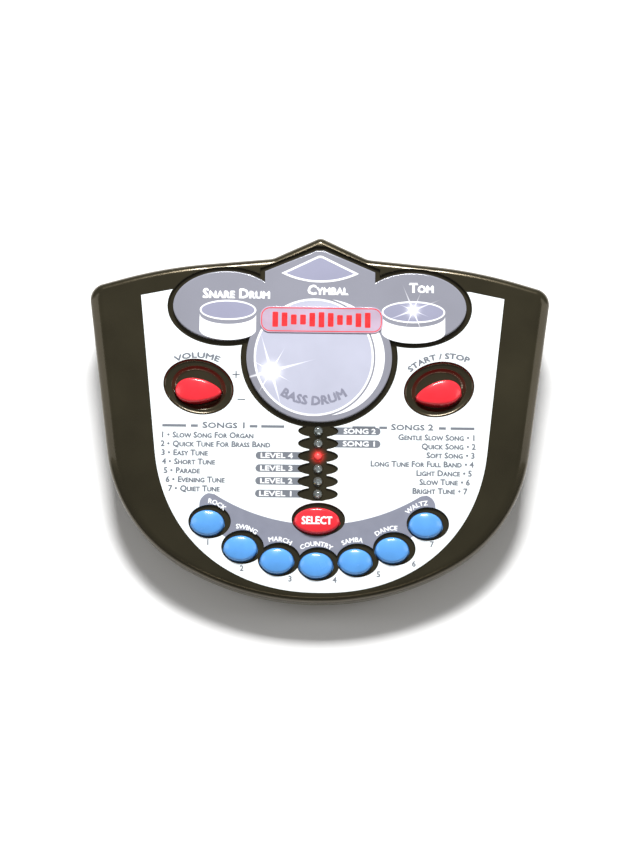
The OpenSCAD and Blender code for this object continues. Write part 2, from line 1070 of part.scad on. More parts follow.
module case_screws() {
    color(steel)
        on_face()
            both_sides(case_bosses) pan_screw(parting - 4 - 1.8, 11);
}

module rubber_feet() {
    color("#1d1d1d")
        on_base()
            both_sides(feet) rod(foot_r, 0, foot_h + foot_sink);
}

// ---------- nodes ----------

upper_shell();
lower_shell();
face_label();
drum_window();
badge_plate();
light_box();
lamp_board();
drum_lamp(0);  // snare_lamp
drum_lamp(1);  // cymbal_lamp
drum_lamp(2);  // tom_lamp
drum_lamp(3);  // bass_lamp
tap_sensors();
light_box_screws();
main_board();
board_screws();
sound_chip();
capacitors();
rhythm_mat();
side_boards();
volume_mat();
start_mat();
volume_rocker();
rocker_pin();
start_stop_button();
select_button();
for (i = [0:RHYTHMS - 1])
    rhythm_button(i);
for (i = [0:len(LIGHTS) - 1])
    indicator(i);
speaker_basket();
speaker_magnet();
speaker_cone();
speaker_dust_cap();
speaker_clips();
for (i = [0:3])
    battery(i);
battery_springs();
contact_plates();
battery_door();
power_switch();
switch_knob();
speaker_wires();
battery_wires();
case_screws();
rubber_feet();
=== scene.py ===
"""The looks of the electronic drum pad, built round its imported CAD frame."""
import json
import math

import bpy
import numpy as np
from mathutils import Matrix, Vector


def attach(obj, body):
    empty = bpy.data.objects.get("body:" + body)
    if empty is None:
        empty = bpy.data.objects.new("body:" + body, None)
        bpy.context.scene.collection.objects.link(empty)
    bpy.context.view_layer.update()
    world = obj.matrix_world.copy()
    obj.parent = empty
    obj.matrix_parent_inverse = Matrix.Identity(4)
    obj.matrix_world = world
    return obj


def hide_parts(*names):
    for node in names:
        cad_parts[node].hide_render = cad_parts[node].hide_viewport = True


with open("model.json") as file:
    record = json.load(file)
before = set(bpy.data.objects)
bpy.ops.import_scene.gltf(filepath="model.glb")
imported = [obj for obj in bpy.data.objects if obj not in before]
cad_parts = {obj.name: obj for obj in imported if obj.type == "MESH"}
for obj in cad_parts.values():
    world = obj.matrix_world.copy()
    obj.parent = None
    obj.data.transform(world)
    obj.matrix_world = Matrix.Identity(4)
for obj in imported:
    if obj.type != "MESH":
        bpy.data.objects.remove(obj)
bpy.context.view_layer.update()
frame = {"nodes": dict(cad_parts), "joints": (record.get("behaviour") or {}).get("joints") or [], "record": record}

MM = 0.001
TURN = 2 * math.pi
JOINT = {j["name"]: j for j in frame["joints"]}

# ---------- frames ----------
# Shapes are made in millimetres. FACE and BASE take them to the row frame, still in millimetres.
# FACE: x to the right, y up the slope, z out of the face, from the middle of the face.
# BASE: x to the right, y to the rear, z up from the table, below that same point.

ROCKER_PIN = Vector((-64.9, 16.3, -7.2))


def face_frame():
    """The face's frame, from the direction that keys press in and the place of the rocker's pin."""
    out = -Vector(JOINT["select_press"]["axis"])
    right = Vector((1, 0, 0))
    turn = Matrix((right, out.cross(right), out)).transposed()
    origin = Vector(JOINT["volume_rock"]["pos_m"]) / MM - turn @ ROCKER_PIN
    return Matrix.LocRotScale(origin, turn, None)


FACE = face_frame()
BASE = Matrix.Translation((0, FACE.translation.y, 0))
TILT = math.atan2(-FACE[1][2], FACE[2][2])


def span(node, basis=FACE):
    """Lowest and highest corner of a CAD node, in millimetres of a frame."""
    inverse = basis.inverted()
    points = np.array([inverse @ (v.co / MM) for v in frame["nodes"][node].data.vertices])
    return Vector(points.min(0)), Vector(points.max(0))


def middle(node, basis=FACE):
    """Centre of a CAD node's box, in millimetres of a frame."""
    low, high = span(node, basis)
    return (low + high) / 2


def at(x, y, z=0, turn=0):
    """A place in a frame, with a turn in degrees about its z axis."""
    return Matrix.Translation((x, y, z)) @ Matrix.Rotation(math.radians(turn), 4, "Z")


# ---------- outlines ----------

def polar(radius, angle):
    return radius * math.cos(angle), radius * math.sin(angle)


def oval(length, width, taper=0, count=64):
    """An oval, or an egg that narrows towards +x when taper is above 0."""
    steps = [TURN * k / count for k in range(count)]
    return [
        (length / 2 * math.cos(t), width / 2 * math.sin(t) * (1 - taper * math.cos(t)))
        for t in steps
    ]


def arc(centre, radius, first, last, count):
    """Points of an arc, ends included, with its angles in degrees."""
    steps = [math.radians(first + (last - first) * k / count) for k in range(count + 1)]
    return [(centre[0] + radius * math.cos(t), centre[1] + radius * math.sin(t)) for t in steps]


def rounded_box(length, width, radius, count=6):
    """A rectangle with round corners, about the origin."""
    x, y = length / 2 - radius, width / 2 - radius
    corners = [((x, -y), -90), ((x, y), 0), ((-x, y), 90), ((-x, -y), 180)]
    return [p for c, a in corners for p in arc(c, radius, a, a + 90, count)]


def shifted(points, x, y):
    return [(p[0] + x, p[1] + y) for p in points]


def corner_arc(before, corner, after, radius):
    """The arc that rounds a corner, as points with their unit normals to the left of the path."""
    to_before = (before - corner).normalized()
    to_after = (after - corner).normalized()
    half = to_before.angle(to_after) / 2
    centre = corner + (to_before + to_after).normalized() * radius / math.sin(half)
    first = corner + to_before * radius / math.tan(half) - centre
    last = corner + to_after * radius / math.tan(half) - centre
    start = math.atan2(first.y, first.x)
    sweep = (math.atan2(last.y, last.x) - start + 1.5 * TURN) % TURN - TURN / 2
    count = max(math.ceil(abs(sweep) / math.radians(7)), math.ceil(radius * abs(sweep) / 3))
    inward = -1 if sweep > 0 else 1
    made = []
    for k in range(count + 1):
        angle = start + sweep * k / count
        direction = Vector((math.cos(angle), math.sin(angle)))
        made.append((centre + radius * direction, inward * direction))
    return made


class Casing:
    """The casing's bell-shaped outline, from the front middle up the right side."""

    right = [(107.4, -59.1, 83), (126.05, 73.7, 9), (85.1, 85.6, 250), (26, 91.2, 10)]
    left = [(-x, y, r) for x, y, r in reversed(right)]
    corners = [(0, -116.8, 146), *right, (0, 103.4, 5), *left]

    path = []
    for i, (x, y, r) in enumerate(corners):
        before = Vector(corners[i - 1][:2])
        after = Vector(corners[(i + 1) % len(corners)][:2])
        path += corner_arc(before, Vector((x, y)), after, r)


def casing(inset):
    """The casing's outline moved inwards, by a distance or by a function of the inward normal."""
    by = inset if callable(inset) else lambda normal: inset
    return [tuple(p + n * by(n)) for p, n in Casing.path]


BASS_AT = Vector((0, 35.5))
BASS = Vector((39.4, BASS_AT.y - span("drum_window")[0].y))
LOBE_AT = Vector((50.6, 63.5))
LOBE = Vector((29, 19.3))
SHOULDER = Vector((30, 83))
PEAK = Vector((2, 94.9))


def window(grow):
    """The drum window's outline: a bass oval, two lobes and a peak, grown by a distance."""
    wide, deep, rx, ry = BASS.x + grow, BASS.y + grow, LOBE.x + grow, LOBE.y + grow
    slope = Vector((PEAK.y - SHOULDER.y, SHOULDER.x - PEAK.x)).normalized()
    side = SHOULDER.x + grow

    def lobe_point(t):
        return Vector((LOBE_AT.x + rx * math.cos(t), LOBE_AT.y + ry * math.sin(t)))

    inside, outside = math.radians(-150), math.radians(-90)
    for _ in range(30):
        half = (inside + outside) / 2
        reach = lobe_point(half) - BASS_AT
        if math.hypot(reach.x / wide, reach.y / deep) < 1:
            inside = half
        else:
            outside = half
    meet = lobe_point(inside) - BASS_AT
    low = math.degrees(math.atan2(meet.y / deep, meet.x / wide))
    top = math.acos((side - LOBE_AT.x) / rx)
    half_outline = [(BASS_AT.x + wide * x, BASS_AT.y + deep * y) for x, y in arc((0, 0), 1, -90, low, 40)]
    half_outline += [tuple(lobe_point(inside + (top - inside) * k / 56)) for k in range(1, 57)]
    half_outline.append((side, SHOULDER.y + grow * (1 - slope.x) / slope.y))
    half_outline.append((PEAK.x + grow * (1 - slope.y) / slope.x, PEAK.y + grow))
    return half_outline + [(-x, y) for x, y in reversed(half_outline[1:])]


LABEL_R = 89.9
LABEL_FULLNESS = 0.91
LABEL_AT = (1.5, -2)
LABEL_LEAN = 7.2
LABEL_TOP = (98.7, 69)
LABEL_SHOULDER = (80, 72.8)


def fuller(share):
    """A sine or cosine raised to a power below 1, which squares a circle up a little."""
    return math.copysign(abs(share) ** LABEL_FULLNESS, share)


def label_plan(inset=0):
    """The printed label: a round front, straight sides and a top edge hidden by the window."""
    front = [
        ((LABEL_R - inset) * fuller(x), LABEL_AT[1] + (LABEL_R - inset) * fuller(y))
        for x, y in arc((0, 0), 1, LABEL_LEAN - 180, -LABEL_LEAN, 72)
    ]
    x, y = LABEL_TOP
    top = [(x - inset, y - inset), (LABEL_SHOULDER[0], LABEL_SHOULDER[1] - inset)]
    return shifted(front + top + [(-p[0], p[1]) for p in reversed(top)], LABEL_AT[0], 0)


# ---------- solids ----------
# A shape is a list of points and a list of faces.

def level(points, z):
    return [(p[0], p[1], z) for p in points]


def skin(rings):
    """A closed skin over rings of equal length, from the lowest to the highest."""
    n = len(rings[0])
    faces = [tuple(reversed(range(n)))]
    for i in range(len(rings) - 1):
        for k in range(n):
            a, b = i * n + k, i * n + (k + 1) % n
            faces.append((a, b, b + n, a + n))
    faces.append(tuple(range((len(rings) - 1) * n, len(rings) * n)))
    return [p for ring in rings for p in ring], faces


def prism(points, low, high):
    return skin([level(points, low), level(points, high)])


def lathe(profile, count=48):
    """A solid of revolution about z, from (radius, height) pairs."""
    return skin([level(oval(2 * r, 2 * r, 0, count), z) for r, z in profile])


def rod(radius, low, high, count=48):
    return lathe([(radius, low), (radius, high)], count)


def block(low, high):
    xs, ys = (low[0], high[0]), (low[1], high[1])
    plan = [(xs[0], ys[0]), (xs[1], ys[0]), (xs[1], ys[1]), (xs[0], ys[1])]
    return prism(plan, low[2], high[2])


def moved(shape, matrix):
    points, faces = shape
    return [tuple(matrix @ Vector(p)) for p in points], faces


def together(shapes):
    """Several shapes as one list of points and faces."""
    points, faces = [], []
    for more_points, more_faces in shapes:
        shift = len(points)
        points += more_points
        faces += [tuple(i + shift for i in f) for f in more_faces]
    return points, faces


def copies(shape, places):
    """The same shape at several places of its frame, given as x and y."""
    return together([moved(shape, at(*place)) for place in places])


def quarter(radius, steps=5):
    """(inset, drop) pairs of a rounded edge, from its side to its top."""
    angles = [math.pi / 2 * k / steps for k in range(steps + 1)]
    return [(radius * (1 - math.cos(a)), radius * (1 - math.sin(a))) for a in angles]


def pit(plan, depth, lip=0.3, top=0.0):
    """A cutter for a hole whose rim is rounded; plan(grow) gives its outline."""
    rings = [level(plan(0), top - depth)]
    rings += [level(plan(grow), top - drop) for grow, drop in quarter(lip)]
    rings.append(level(plan(lip), top + 3))
    return skin(rings)


def plate(plan, low, high, edge):
    """A solid whose top edge is rounded; plan(inset) gives its outline."""
    rings = [level(plan(0), low)]
    rings += [level(plan(inset), high - drop) for inset, drop in quarter(edge)]
    return skin(rings)


# ---------- meshes ----------

def in_scene(name, data):
    """A new object, linked to the scene."""
    made = bpy.data.objects.new(name, data)
    bpy.context.scene.collection.objects.link(made)
    return made


def to_mesh(shape, name="work"):
    mesh = bpy.data.meshes.new(name)
    points, faces = shape
    mesh.from_pydata(points, [], faces)
    mesh.validate()
    return mesh


def combine(mesh, shapes, operation):
    """The mesh after a boolean with each shape in turn."""
    tool = in_scene("tool", mesh)
    helpers = []
    for shape in shapes:
        helper = in_scene("helper", to_mesh(shape))
        step = tool.modifiers.new("step", "BOOLEAN")
        step.operation = operation
        step.solver = "MANIFOLD"
        step.object = helper
        helpers.append(helper)
    graph = bpy.context.evaluated_depsgraph_get()
    made = bpy.data.meshes.new_from_object(tool.evaluated_get(graph))
    for helper in [tool, *helpers]:
        bpy.data.objects.remove(helper)
    return made


def cut(mesh, *shapes):
    return combine(mesh, shapes, "DIFFERENCE")


def add(mesh, *shapes):
    return combine(mesh, shapes, "UNION")


def piece(name, mesh, basis, material, body="console", stands_for=(), sharp=35):
    """A finished piece of the object, made from a mesh in millimetres of a frame."""
    if not isinstance(mesh, bpy.types.Mesh):
        mesh = to_mesh(mesh, name)
    mesh.transform(Matrix.Scale(MM, 4) @ basis)
    mesh.name = name
    mesh.shade_smooth()
    mesh.set_sharp_from_angle(angle=math.radians(sharp))
    mesh.materials.clear()
    mesh.materials.append(material)
    made = in_scene(name, mesh)
    weigh = made.modifiers.new("even_normals", "WEIGHTED_NORMAL")
    weigh.keep_sharp = True
    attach(made, body)
    if stands_for:
        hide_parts(*stands_for)
    return made


# ---------- materials ----------

# A star's core falls off as a bell curve; its rays narrow with the distance left to their tips
BELL_BASE = 2.718
RAY_TAPER = 0.05
RAY_LEAST = 0.0001


class Shader:
    """A Principled material with helpers that add its procedural nodes."""

    def __init__(self, name, color, roughness=0.4, **constants):
        self.material = bpy.data.materials.new(name)
        self.material.use_nodes = True
        self.tree = self.material.node_tree
        self.main = self.tree.nodes["Principled BSDF"]
        self.color = (*color, 1)
        self.main.inputs["Base Color"].default_value = self.color
        self.main.inputs["Roughness"].default_value = roughness
        for socket, value in constants.items():
            self.main.inputs[socket.replace("_", " ").title().replace("Ior", "IOR")].default_value = value
        self.place = self.node("ShaderNodeTexCoord").outputs["Object"]

    def node(self, kind, **settings):
        made = self.tree.nodes.new(kind)
        for name, value in settings.items():
            setattr(made, name, value)
        return made

    def link(self, source, target):
        self.tree.links.new(source, target)

    def noise(self, size, detail=3.0, stretch=(1, 1, 1)):
        """Noise whose features are about size millimetres across."""
        shape = self.node("ShaderNodeMapping")
        shape.inputs["Scale"].default_value = [s / (size * MM) for s in stretch]
        self.link(self.place, shape.inputs["Vector"])
        made = self.node("ShaderNodeTexNoise")
        made.inputs["Scale"].default_value = 1
        made.inputs["Detail"].default_value = detail
        self.link(shape.outputs["Vector"], made.inputs["Vector"])
        return made.outputs["Fac"]

    def ramp(self, source, stops):
        """A colour ramp; stops are (position, colour or grey) pairs."""
        made = self.node("ShaderNodeValToRGB")
        elements = made.color_ramp.elements
        while len(elements) < len(stops):
            elements.new(0.5)
        for element, (position, value) in zip(elements, stops):
            element.position = position
            element.color = value if hasattr(value, "__len__") else (value, value, value, 1)
        self.link(source, made.inputs["Fac"])
        return made.outputs["Color"]

    def mix(self, factor, a, b, blend="MIX"):
        made = self.node("ShaderNodeMix", data_type="RGBA", blend_type=blend)
        for socket, value in ((made.inputs[0], factor), (made.inputs[6], a), (made.inputs[7], b)):
            if isinstance(value, bpy.types.NodeSocket):
                self.link(value, socket)
            else:
                socket.default_value = value
        return made.outputs[2]

    def math(self, operation, a, b=0.0):
        made = self.node("ShaderNodeMath", operation=operation)
        for socket, value in zip(made.inputs, (a, b)):
            if isinstance(value, bpy.types.NodeSocket):
                self.link(value, socket)
            else:
                socket.default_value = value
        return made.outputs[0]

    def tint(self, size, amount):
        """Slow colour variation round the base colour."""
        low = (*[c * (1 - amount) for c in self.color[:3]], 1)
        high = (*[min(1, c * (1 + amount)) for c in self.color[:3]], 1)
        color = self.ramp(self.noise(size), [(0.3, low), (0.7, high)])
        self.link(color, self.main.inputs["Base Color"])
        return color

    def gloss(self, size, low, high):
        """Roughness that varies in patches, as handling leaves it."""
        self.link(self.ramp(self.noise(size), [(0.35, low), (0.7, high)]), self.main.inputs["Roughness"])

    def bump(self, size, depth, stretch=(1, 1, 1)):
        """Surface grain of a size and depth in millimetres."""
        made = self.node("ShaderNodeBump")
        made.inputs["Distance"].default_value = depth * MM
        made.inputs["Strength"].default_value = 1
        self.link(self.noise(size, 4, stretch), made.inputs["Height"])
        self.link(made.outputs["Normal"], self.main.inputs["Normal"])

    def star(self, centre, reach, rays, angle=0.0, core=0.12):
        """A star of light round a point of the face: a core with tapering rays, from 0 to 1."""
        centre = FACE @ Vector(centre) * MM
        offset = self.node("ShaderNodeVectorMath", operation="SUBTRACT")
        self.link(self.place, offset.inputs[0])
        offset.inputs[1].default_value = centre
        distance = self.node("ShaderNodeVectorMath", operation="LENGTH")
        self.link(offset.outputs[0], distance.inputs[0])
        near = self.math("DIVIDE", distance.outputs["Value"], reach * MM)
        squared = self.math("POWER", near, 2.0)
        total = self.math("POWER", BELL_BASE, self.math("MULTIPLY", squared, -1 / core ** 2))
        for k, length in enumerate(rays):
            turn = math.radians(angle + 180 * k / len(rays))
            across = FACE.to_3x3() @ Vector((-math.sin(turn), math.cos(turn), 0))
            dot = self.node("ShaderNodeVectorMath", operation="DOT_PRODUCT")
            self.link(offset.outputs[0], dot.inputs[0])
            dot.inputs[1].default_value = across
            side = self.math("DIVIDE", self.math("ABSOLUTE", dot.outputs["Value"]), reach * MM)
            left = self.math("SUBTRACT", length, near)
            width = self.math("MAXIMUM", self.math("MULTIPLY", left, RAY_TAPER), RAY_LEAST)
            ray = self.math("SUBTRACT", 1.0, self.math("DIVIDE", side, width))
            fade = self.math("SUBTRACT", 1.0, self.math("DIVIDE", near, length))
            ray = self.math("MULTIPLY", self.math("MAXIMUM", ray, 0.0), self.math("MAXIMUM", fade, 0.0))
            total = self.math("ADD", total, ray)
        return self.math("MINIMUM", total, 1.0)

    def shine(self, mask, color, strength):
        """Light given off where the mask is 1."""
        self.link(self.mix(mask, (0, 0, 0, 1), (*color, 1)), self.main.inputs["Emission Color"])
        self.main.inputs["Emission Strength"].default_value = strength


def srgb(red, green, blue):
    """A linear colour from display values of 0 to 255."""
    def linear(value):
        value /= 255
        return value / 12.92 if value <= 0.04045 else ((value + 0.055) / 1.055) ** 2.4
    return linear(red), linear(green), linear(blue)


LIT_NODE = "level_4_light"
LED_CROWN = 1.8
# Height, strength and stars of the glow painted over the window for the two lit lamps under it
GLOW_Z = 1.0
GLOW = 1.2
LIT_LAMPS = {"bass_lamp": (26, (1, 0.62, 0.9, 0.5), 16), "tom_lamp": (17, (1, 0.7, 0.95, 0.6), 22)}


def lamp_glow(made):
    """Painted light: stars of glow painted on the window, its print and the drum heads, standing in for the two
    lit lamps under the window.
    """
    mask = None
    for lamp, (reach, rays, angle) in LIT_LAMPS.items():
        place = middle(lamp)
        star = made.star((place.x, place.y, GLOW_Z), reach, rays, angle, 0.16)
        mask = star if mask is None else made.math("MAXIMUM", mask, star)
    made.shine(mask, (1, 1, 1), GLOW)


def make_casing():
    warm = {"specular_tint": (1, 0.86, 0.62, 1), "coat_tint": (1, 0.88, 0.68, 1)}
    made = Shader("casing_gloss", srgb(40, 38, 28), 0.2, coat_weight=0.3, coat_roughness=0.06, **warm)
    made.tint(30, 0.18)
    made.gloss(45, 0.16, 0.24)
    made.bump(0.9, 0.0012)
    lit = middle(LIT_NODE)
    # Painted light: a red star of glow painted on the casing round the lit lamp, standing in for its light and
    # flare on the face
    made.shine(made.star((lit.x, lit.y, -1), 6, (1, 0.7, 0.9, 0.6), 20, 0.4), (1, 0.05, 0.04), 1.5)
    return made.material


def make_label():
    made = Shader("label_film", srgb(241, 247, 249), 0.32)
    made.tint(60, 0.012)
    made.gloss(25, 0.28, 0.38)
    made.bump(1.4, 0.0015)
    return made.material


def make_print(name, color, roughness=0.4):
    """Screen-printed ink: slightly uneven, with a fine tooth."""
    made = Shader(name, color, roughness)
    made.tint(6, 0.04)
    made.gloss(4, roughness * 0.85, roughness * 1.15)
    made.bump(0.5, 0.002)
    return made


def make_window_print(name, color):
    made = make_print(name, color, 0.3)
    # Painted glow of the lit lamps under the window
    lamp_glow(made)
    return made.material


def make_window():
    made = Shader("window_smoke", srgb(139, 140, 151), 0.16, coat_weight=0.5, coat_roughness=0.05)
    made.tint(40, 0.05)
    made.bump(2.5, 0.001)
    # Painted glow of the lit lamps under the window
    lamp_glow(made)
    return made.material


def make_drum_head(name, color):
    """The lavender fields of the drums, with the glow of the lit lamps painted on them."""
    made = Shader(name, color, 0.2, coat_weight=0.4, coat_roughness=0.05)
    made.tint(25, 0.05)
    made.bump(2.5, 0.001)
    # Painted glow of the lit lamps under the window
    lamp_glow(made)
    return made.material


def make_key(name, color):
    """A polished key, a little duller where fingers land."""
    made = Shader(name, color, 0.22, coat_weight=0.5, coat_roughness=0.06)
    made.tint(9, 0.06)
    made.gloss(7, 0.18, 0.28)
    made.bump(0.8, 0.002)
    return made.material


def make_clear(name, color, **constants):
    made = Shader(name, color, 0.06, transmission_weight=0.9, ior=1.49, **constants)
    made.bump(1.5, 0.002)
    return made.material


def make_lit():
    """The lit lamp's epoxy, brightest at its crown."""
    made = Shader("indicator_lit", srgb(235, 60, 55), 0.1, transmission_weight=0.4)
    lit = middle(LIT_NODE)
    made.shine(made.star((lit.x, lit.y, LED_CROWN), 3, (1,), 0, 0.6), (1, 0.1, 0.1), 1.1)
    made.bump(1.5, 0.002)
    return made.material


def make_plain(name, color, roughness, grain, depth, **constants):
    """A moulded, pressed or drawn surface: colour drift, uneven gloss and a grain of its own size."""
    made = Shader(name, color, roughness, **constants)
    made.tint(grain * 6, 0.12)
    made.gloss(grain * 4, roughness * 0.85, min(1, roughness * 1.15))
    made.bump(grain, depth)
    return made.material


def make_board(name):
    """Paper-phenolic board with faint fibres."""
    made = Shader(name, srgb(176, 128, 72), 0.45)
    made.tint(8, 0.1)
    made.bump(0.8, 0.01, (1, 6, 1))
    return made.material


CASING = make_casing()
LABEL = make_label()
GREY_PRINT = make_print("grey_print", srgb(112, 117, 126)).material
BAND_PRINT = make_print("band_print", srgb(130, 133, 148)).material
WHITE_PRINT = make_print("white_print", srgb(246, 248, 251), 0.35).material
RED_PRINT = make_print("red_print", srgb(226, 40, 44), 0.3).material
WINDOW = make_window()
WINDOW_PRINT = make_window_print("window_print", srgb(246, 248, 251))
BASS_PRINT = make_window_print("bass_print", srgb(132, 133, 150))
BASS_HEAD = make_drum_head("bass_head", srgb(182, 184, 201))
SMALL_HEAD = make_drum_head("small_head", srgb(150, 151, 173))
BADGE_TINT = make_plain("badge_tint", srgb(184, 164, 184), 0.15, 2, 0.002, coat_weight=0.4)
RED = make_key("key_red", srgb(232, 44, 56))
BLUE = make_key("key_blue", srgb(92, 160, 232))
CLEAR = make_clear("indicator_clear", srgb(225, 235, 232))
LIT = make_lit()
RUBBER = make_plain("foot_rubber", srgb(30, 30, 31), 0.75, 0.6, 0.02)
STEEL = make_plain("zinc_steel", srgb(170, 172, 175), 0.32, 0.7, 0.004, metallic=1.0)
METAL = make_plain("lamp_metal", srgb(190, 190, 192), 0.3, 0.3, 0.002, metallic=1.0)
KNOB_PLASTIC = make_plain("knob_plastic", srgb(214, 213, 206), 0.4, 0.6, 0.005)

# Finishes of the pieces that keep their CAD shape, by the record's material slot
INNER = {
    "white_moulding": make_plain("reflector_white", srgb(236, 236, 230), 0.45, 1.2, 0.008),
    "circuit_board": make_board("board_tan"),
    "drum_lamp": make_clear("drum_lamp_clear", srgb(235, 240, 245)),
    "sensor_brass": make_plain("sensor_brass", srgb(205, 170, 92), 0.35, 0.6, 0.004, metallic=1.0),
    "screw_steel": STEEL,
    "chip": make_plain("chip_epoxy", srgb(28, 28, 30), 0.6, 0.4, 0.006),
    "capacitor": make_plain("capacitor_sleeve", srgb(38, 62, 104), 0.35, 1, 0.004),
    "mat_rubber": make_plain("mat_silicone", srgb(146, 150, 152), 0.7, 0.5, 0.01),
    "speaker_metal": make_plain("basket_paint", srgb(92, 97, 102), 0.45, 0.8, 0.006, metallic=0.6),
    "magnet": make_plain("ferrite", srgb(52, 54, 57), 0.8, 0.5, 0.02),
    "speaker_paper": make_plain("pressed_paper", srgb(40, 40, 43), 0.85, 0.4, 0.03),
    "cell_jacket": make_plain("cell_jacket", srgb(50, 112, 74), 0.28, 3, 0.003, coat_weight=0.4),
    "contact_steel": make_plain("spring_nickel", srgb(200, 201, 203), 0.22, 0.5, 0.003, metallic=1.0),
    "switch_body": make_plain("switch_steel", srgb(150, 152, 154), 0.4, 0.6, 0.004, metallic=1.0),
    "red_wire": make_plain("red_insulation", srgb(168, 34, 34), 0.5, 1, 0.004),
    "black_wire": make_plain("black_insulation", srgb(34, 34, 36), 0.5, 1, 0.004)
}

# ---------- casing ----------

EDGE = 4.4
PARTING = span("upper_shell")[0].z
FACE_T = 2.6
WALL = 2.5
# How far an added solid sinks into what it stands on
JOIN = 0.1
STEP = 1.5
LABEL_DEPTH = 0.4
LABEL_TOP_Z = 0.1
GROOVE = 2.5
GROOVE_DEPTH = 1.6
DISH_AT = (64.8, 18.7)
DISH = (38, 29.5)
DISH_TURN = 15
DISH_FLOOR = -5.2
ROCKER_TURN = -3
START_AT = (64.5, 16.1)
START_TURN = 192
EGG = (24.9, 12.9, 0.3)
CAP_GAP = 0.45
RHYTHM = (17.8, 13.7)
SELECT = (24.3, 14)
SELECT_AT = (-0.2, -53.6)
SELECT_WELL_AT = (0.6, -52.7)
ARC_AT = (-0.4, 10.9)
ARC_R = 87.9
ARC_ANGLES = (-41.4, -27.3, -13.7, 0, 13.7, 27.3, 41.4)
ARC_BOW = (0.3, 1.6, 0.7, 0.4, 0.7, 1.6, 0.3)
WELL_MARGIN = (2.2, 1.95)
WELL_SHIFT = (1.2, 0.9)
WELL_DEPTH = 1.2
LIGHT_TOP = -4.8
LIGHT_PITCH = 6.85
LIGHT_WELL = (21.1, 6.5)
LIGHT_SPINE = 9
LIGHT_FOOT = 3.6
LED_R = 2.4
CASE_BOSSES = [(s * x, y) for s in (-1, 1) for x, y in ((108, 61), (103, 2), (56, -77))]
BOARD_BOSSES = [(s * x, y) for s in (-1, 1) for x, y in ((76, -8), (30, -46), (22, -8))]
BOX_BOSSES = [(-76.5, 78.2), (76.5, 78.2), (-43, 31.5), (43, 31.5)]
SIDE_BOSSES = [(-15.5, 9.5), (15.5, -9.5)]
BOSS_R = 3.6
BOSS_END = -10.4
SIDE_BOSS_END = -14.6
PILOT_R = 1.2
PILOT_TOP = -3.6
EAR_X = 14.5
DISH_PAD = 3
PRINT_GAP = 0.25
LIGHT_GAP = 0.3
WELL_CUT = WELL_DEPTH - LABEL_DEPTH
WELL_LIP = 0.2
SELECT_MARGIN = (3.8, 3.6)

RHYTHM_AT = [
    (ARC_AT[0] + ARC_R * math.sin(math.radians(a)), ARC_AT[1] - ARC_R * math.cos(math.radians(a)) - bow)
    for a, bow in zip(ARC_ANGLES, ARC_BOW)
]
WELL_AT = shifted(RHYTHM_AT, *WELL_SHIFT)
LIGHT_AT = [(0, LIGHT_TOP - LIGHT_PITCH * i) for i in range(6)]


def fillet_inset(share):
    """How far the top edge's rounding reaches in: wider along the two long sides."""
    return lambda normal: share * (EDGE + 3.2 * abs(normal.x) ** 4)


def dish_frame(side):
    return at(side * DISH_AT[0], DISH_AT[1], 0, side * DISH_TURN)


def egg(grow=0):
    return oval(EGG[0] + 2 * grow, EGG[1] + 2 * grow, EGG[2])


def rhythm_plan(grow=0):
    return oval(RHYTHM[0] + 2 * grow, RHYTHM[1] + 2 * grow)


def select_plan(grow=0):
    return oval(SELECT[0] + 2 * grow, SELECT[1] + 2 * grow)


def rhythm_well(grow=0):
    return oval(RHYTHM[0] + 2 * (WELL_MARGIN[0] + grow), RHYTHM[1] + 2 * (WELL_MARGIN[1] + grow))


def select_well(grow=0):
    return oval(SELECT[0] + SELECT_MARGIN[0] + 2 * grow, SELECT[1] + SELECT_MARGIN[1] + 2 * grow)


def light_wells(grow=0):
    """The six oval wells and the spine that joins them, as one scalloped outline."""
    half = []
    rx, ry = LIGHT_WELL[0] / 2 + grow, LIGHT_WELL[1] / 2 + grow
    spine = LIGHT_SPINE / 2 + grow
    lean = math.degrees(math.acos(spine / rx))
    for x, y in reversed(LIGHT_AT):
        turns = [math.radians(-lean + 2 * lean * k / 16) for k in range(17)]
        half += [(rx * math.cos(t), y + ry * math.sin(t)) for t in turns]
    foot = (2.2 + grow, LIGHT_AT[-1][1] - LIGHT_FOOT - grow / 2)
    head = (spine, LIGHT_AT[0][1] + LIGHT_SPINE / 2 + grow)
    half = [foot, *half, head]
    return half + [(-x, y) for x, y in reversed(half)]


# The dish's slope as (scale of its outline, level), with a rolled crest round its floor
DISH_PROFILE = [
    (0.62, -3.9), (0.66, -3.75), (0.71, -3.3), (0.755, -2.55), (0.778, -2.1), (0.8, -1.92),
    (0.83, -1.84), (0.87, -1.78), (0.92, -1.68), (0.955, -1.48), (0.98, -1.15), (0.995, -0.75),
    (1.0, -0.45), (1.0, 3)
]


def both_dishes(shape):
    return together([moved(shape, dish_frame(side)) for side in (-1, 1)])


def dish_cutter(side):
    rings = [level(oval(DISH[0] * s, DISH[1] * s, count=96), z) for s, z in DISH_PROFILE]
    return moved(skin(rings), dish_frame(side))


def upper_skin():
    rings = [
        level(casing(0.5), PARTING),
        level(casing(0.1), PARTING + 0.15),
        level(casing(0), PARTING + 0.5)
    ]
    for share, drop in quarter(1, 8):
        rings.append(level(casing(fillet_inset(share)), -EDGE * drop))
    return skin(rings)


def bosses(places, radius, low, high):
    return copies(rod(radius, low, high, 24), places)


def side_bosses(radius, low, high):
    return together([
        moved(rod(radius, low, high, 24), dish_frame(side) @ at(x, y))
        for side in (-1, 1) for x, y in SIDE_BOSSES
    ])


def along_x(radius, length, matrix):
    """A round bar along x."""
    return moved(rod(radius, -length / 2, length / 2), matrix @ Matrix.Rotation(TURN / 4, 4, "Y"))


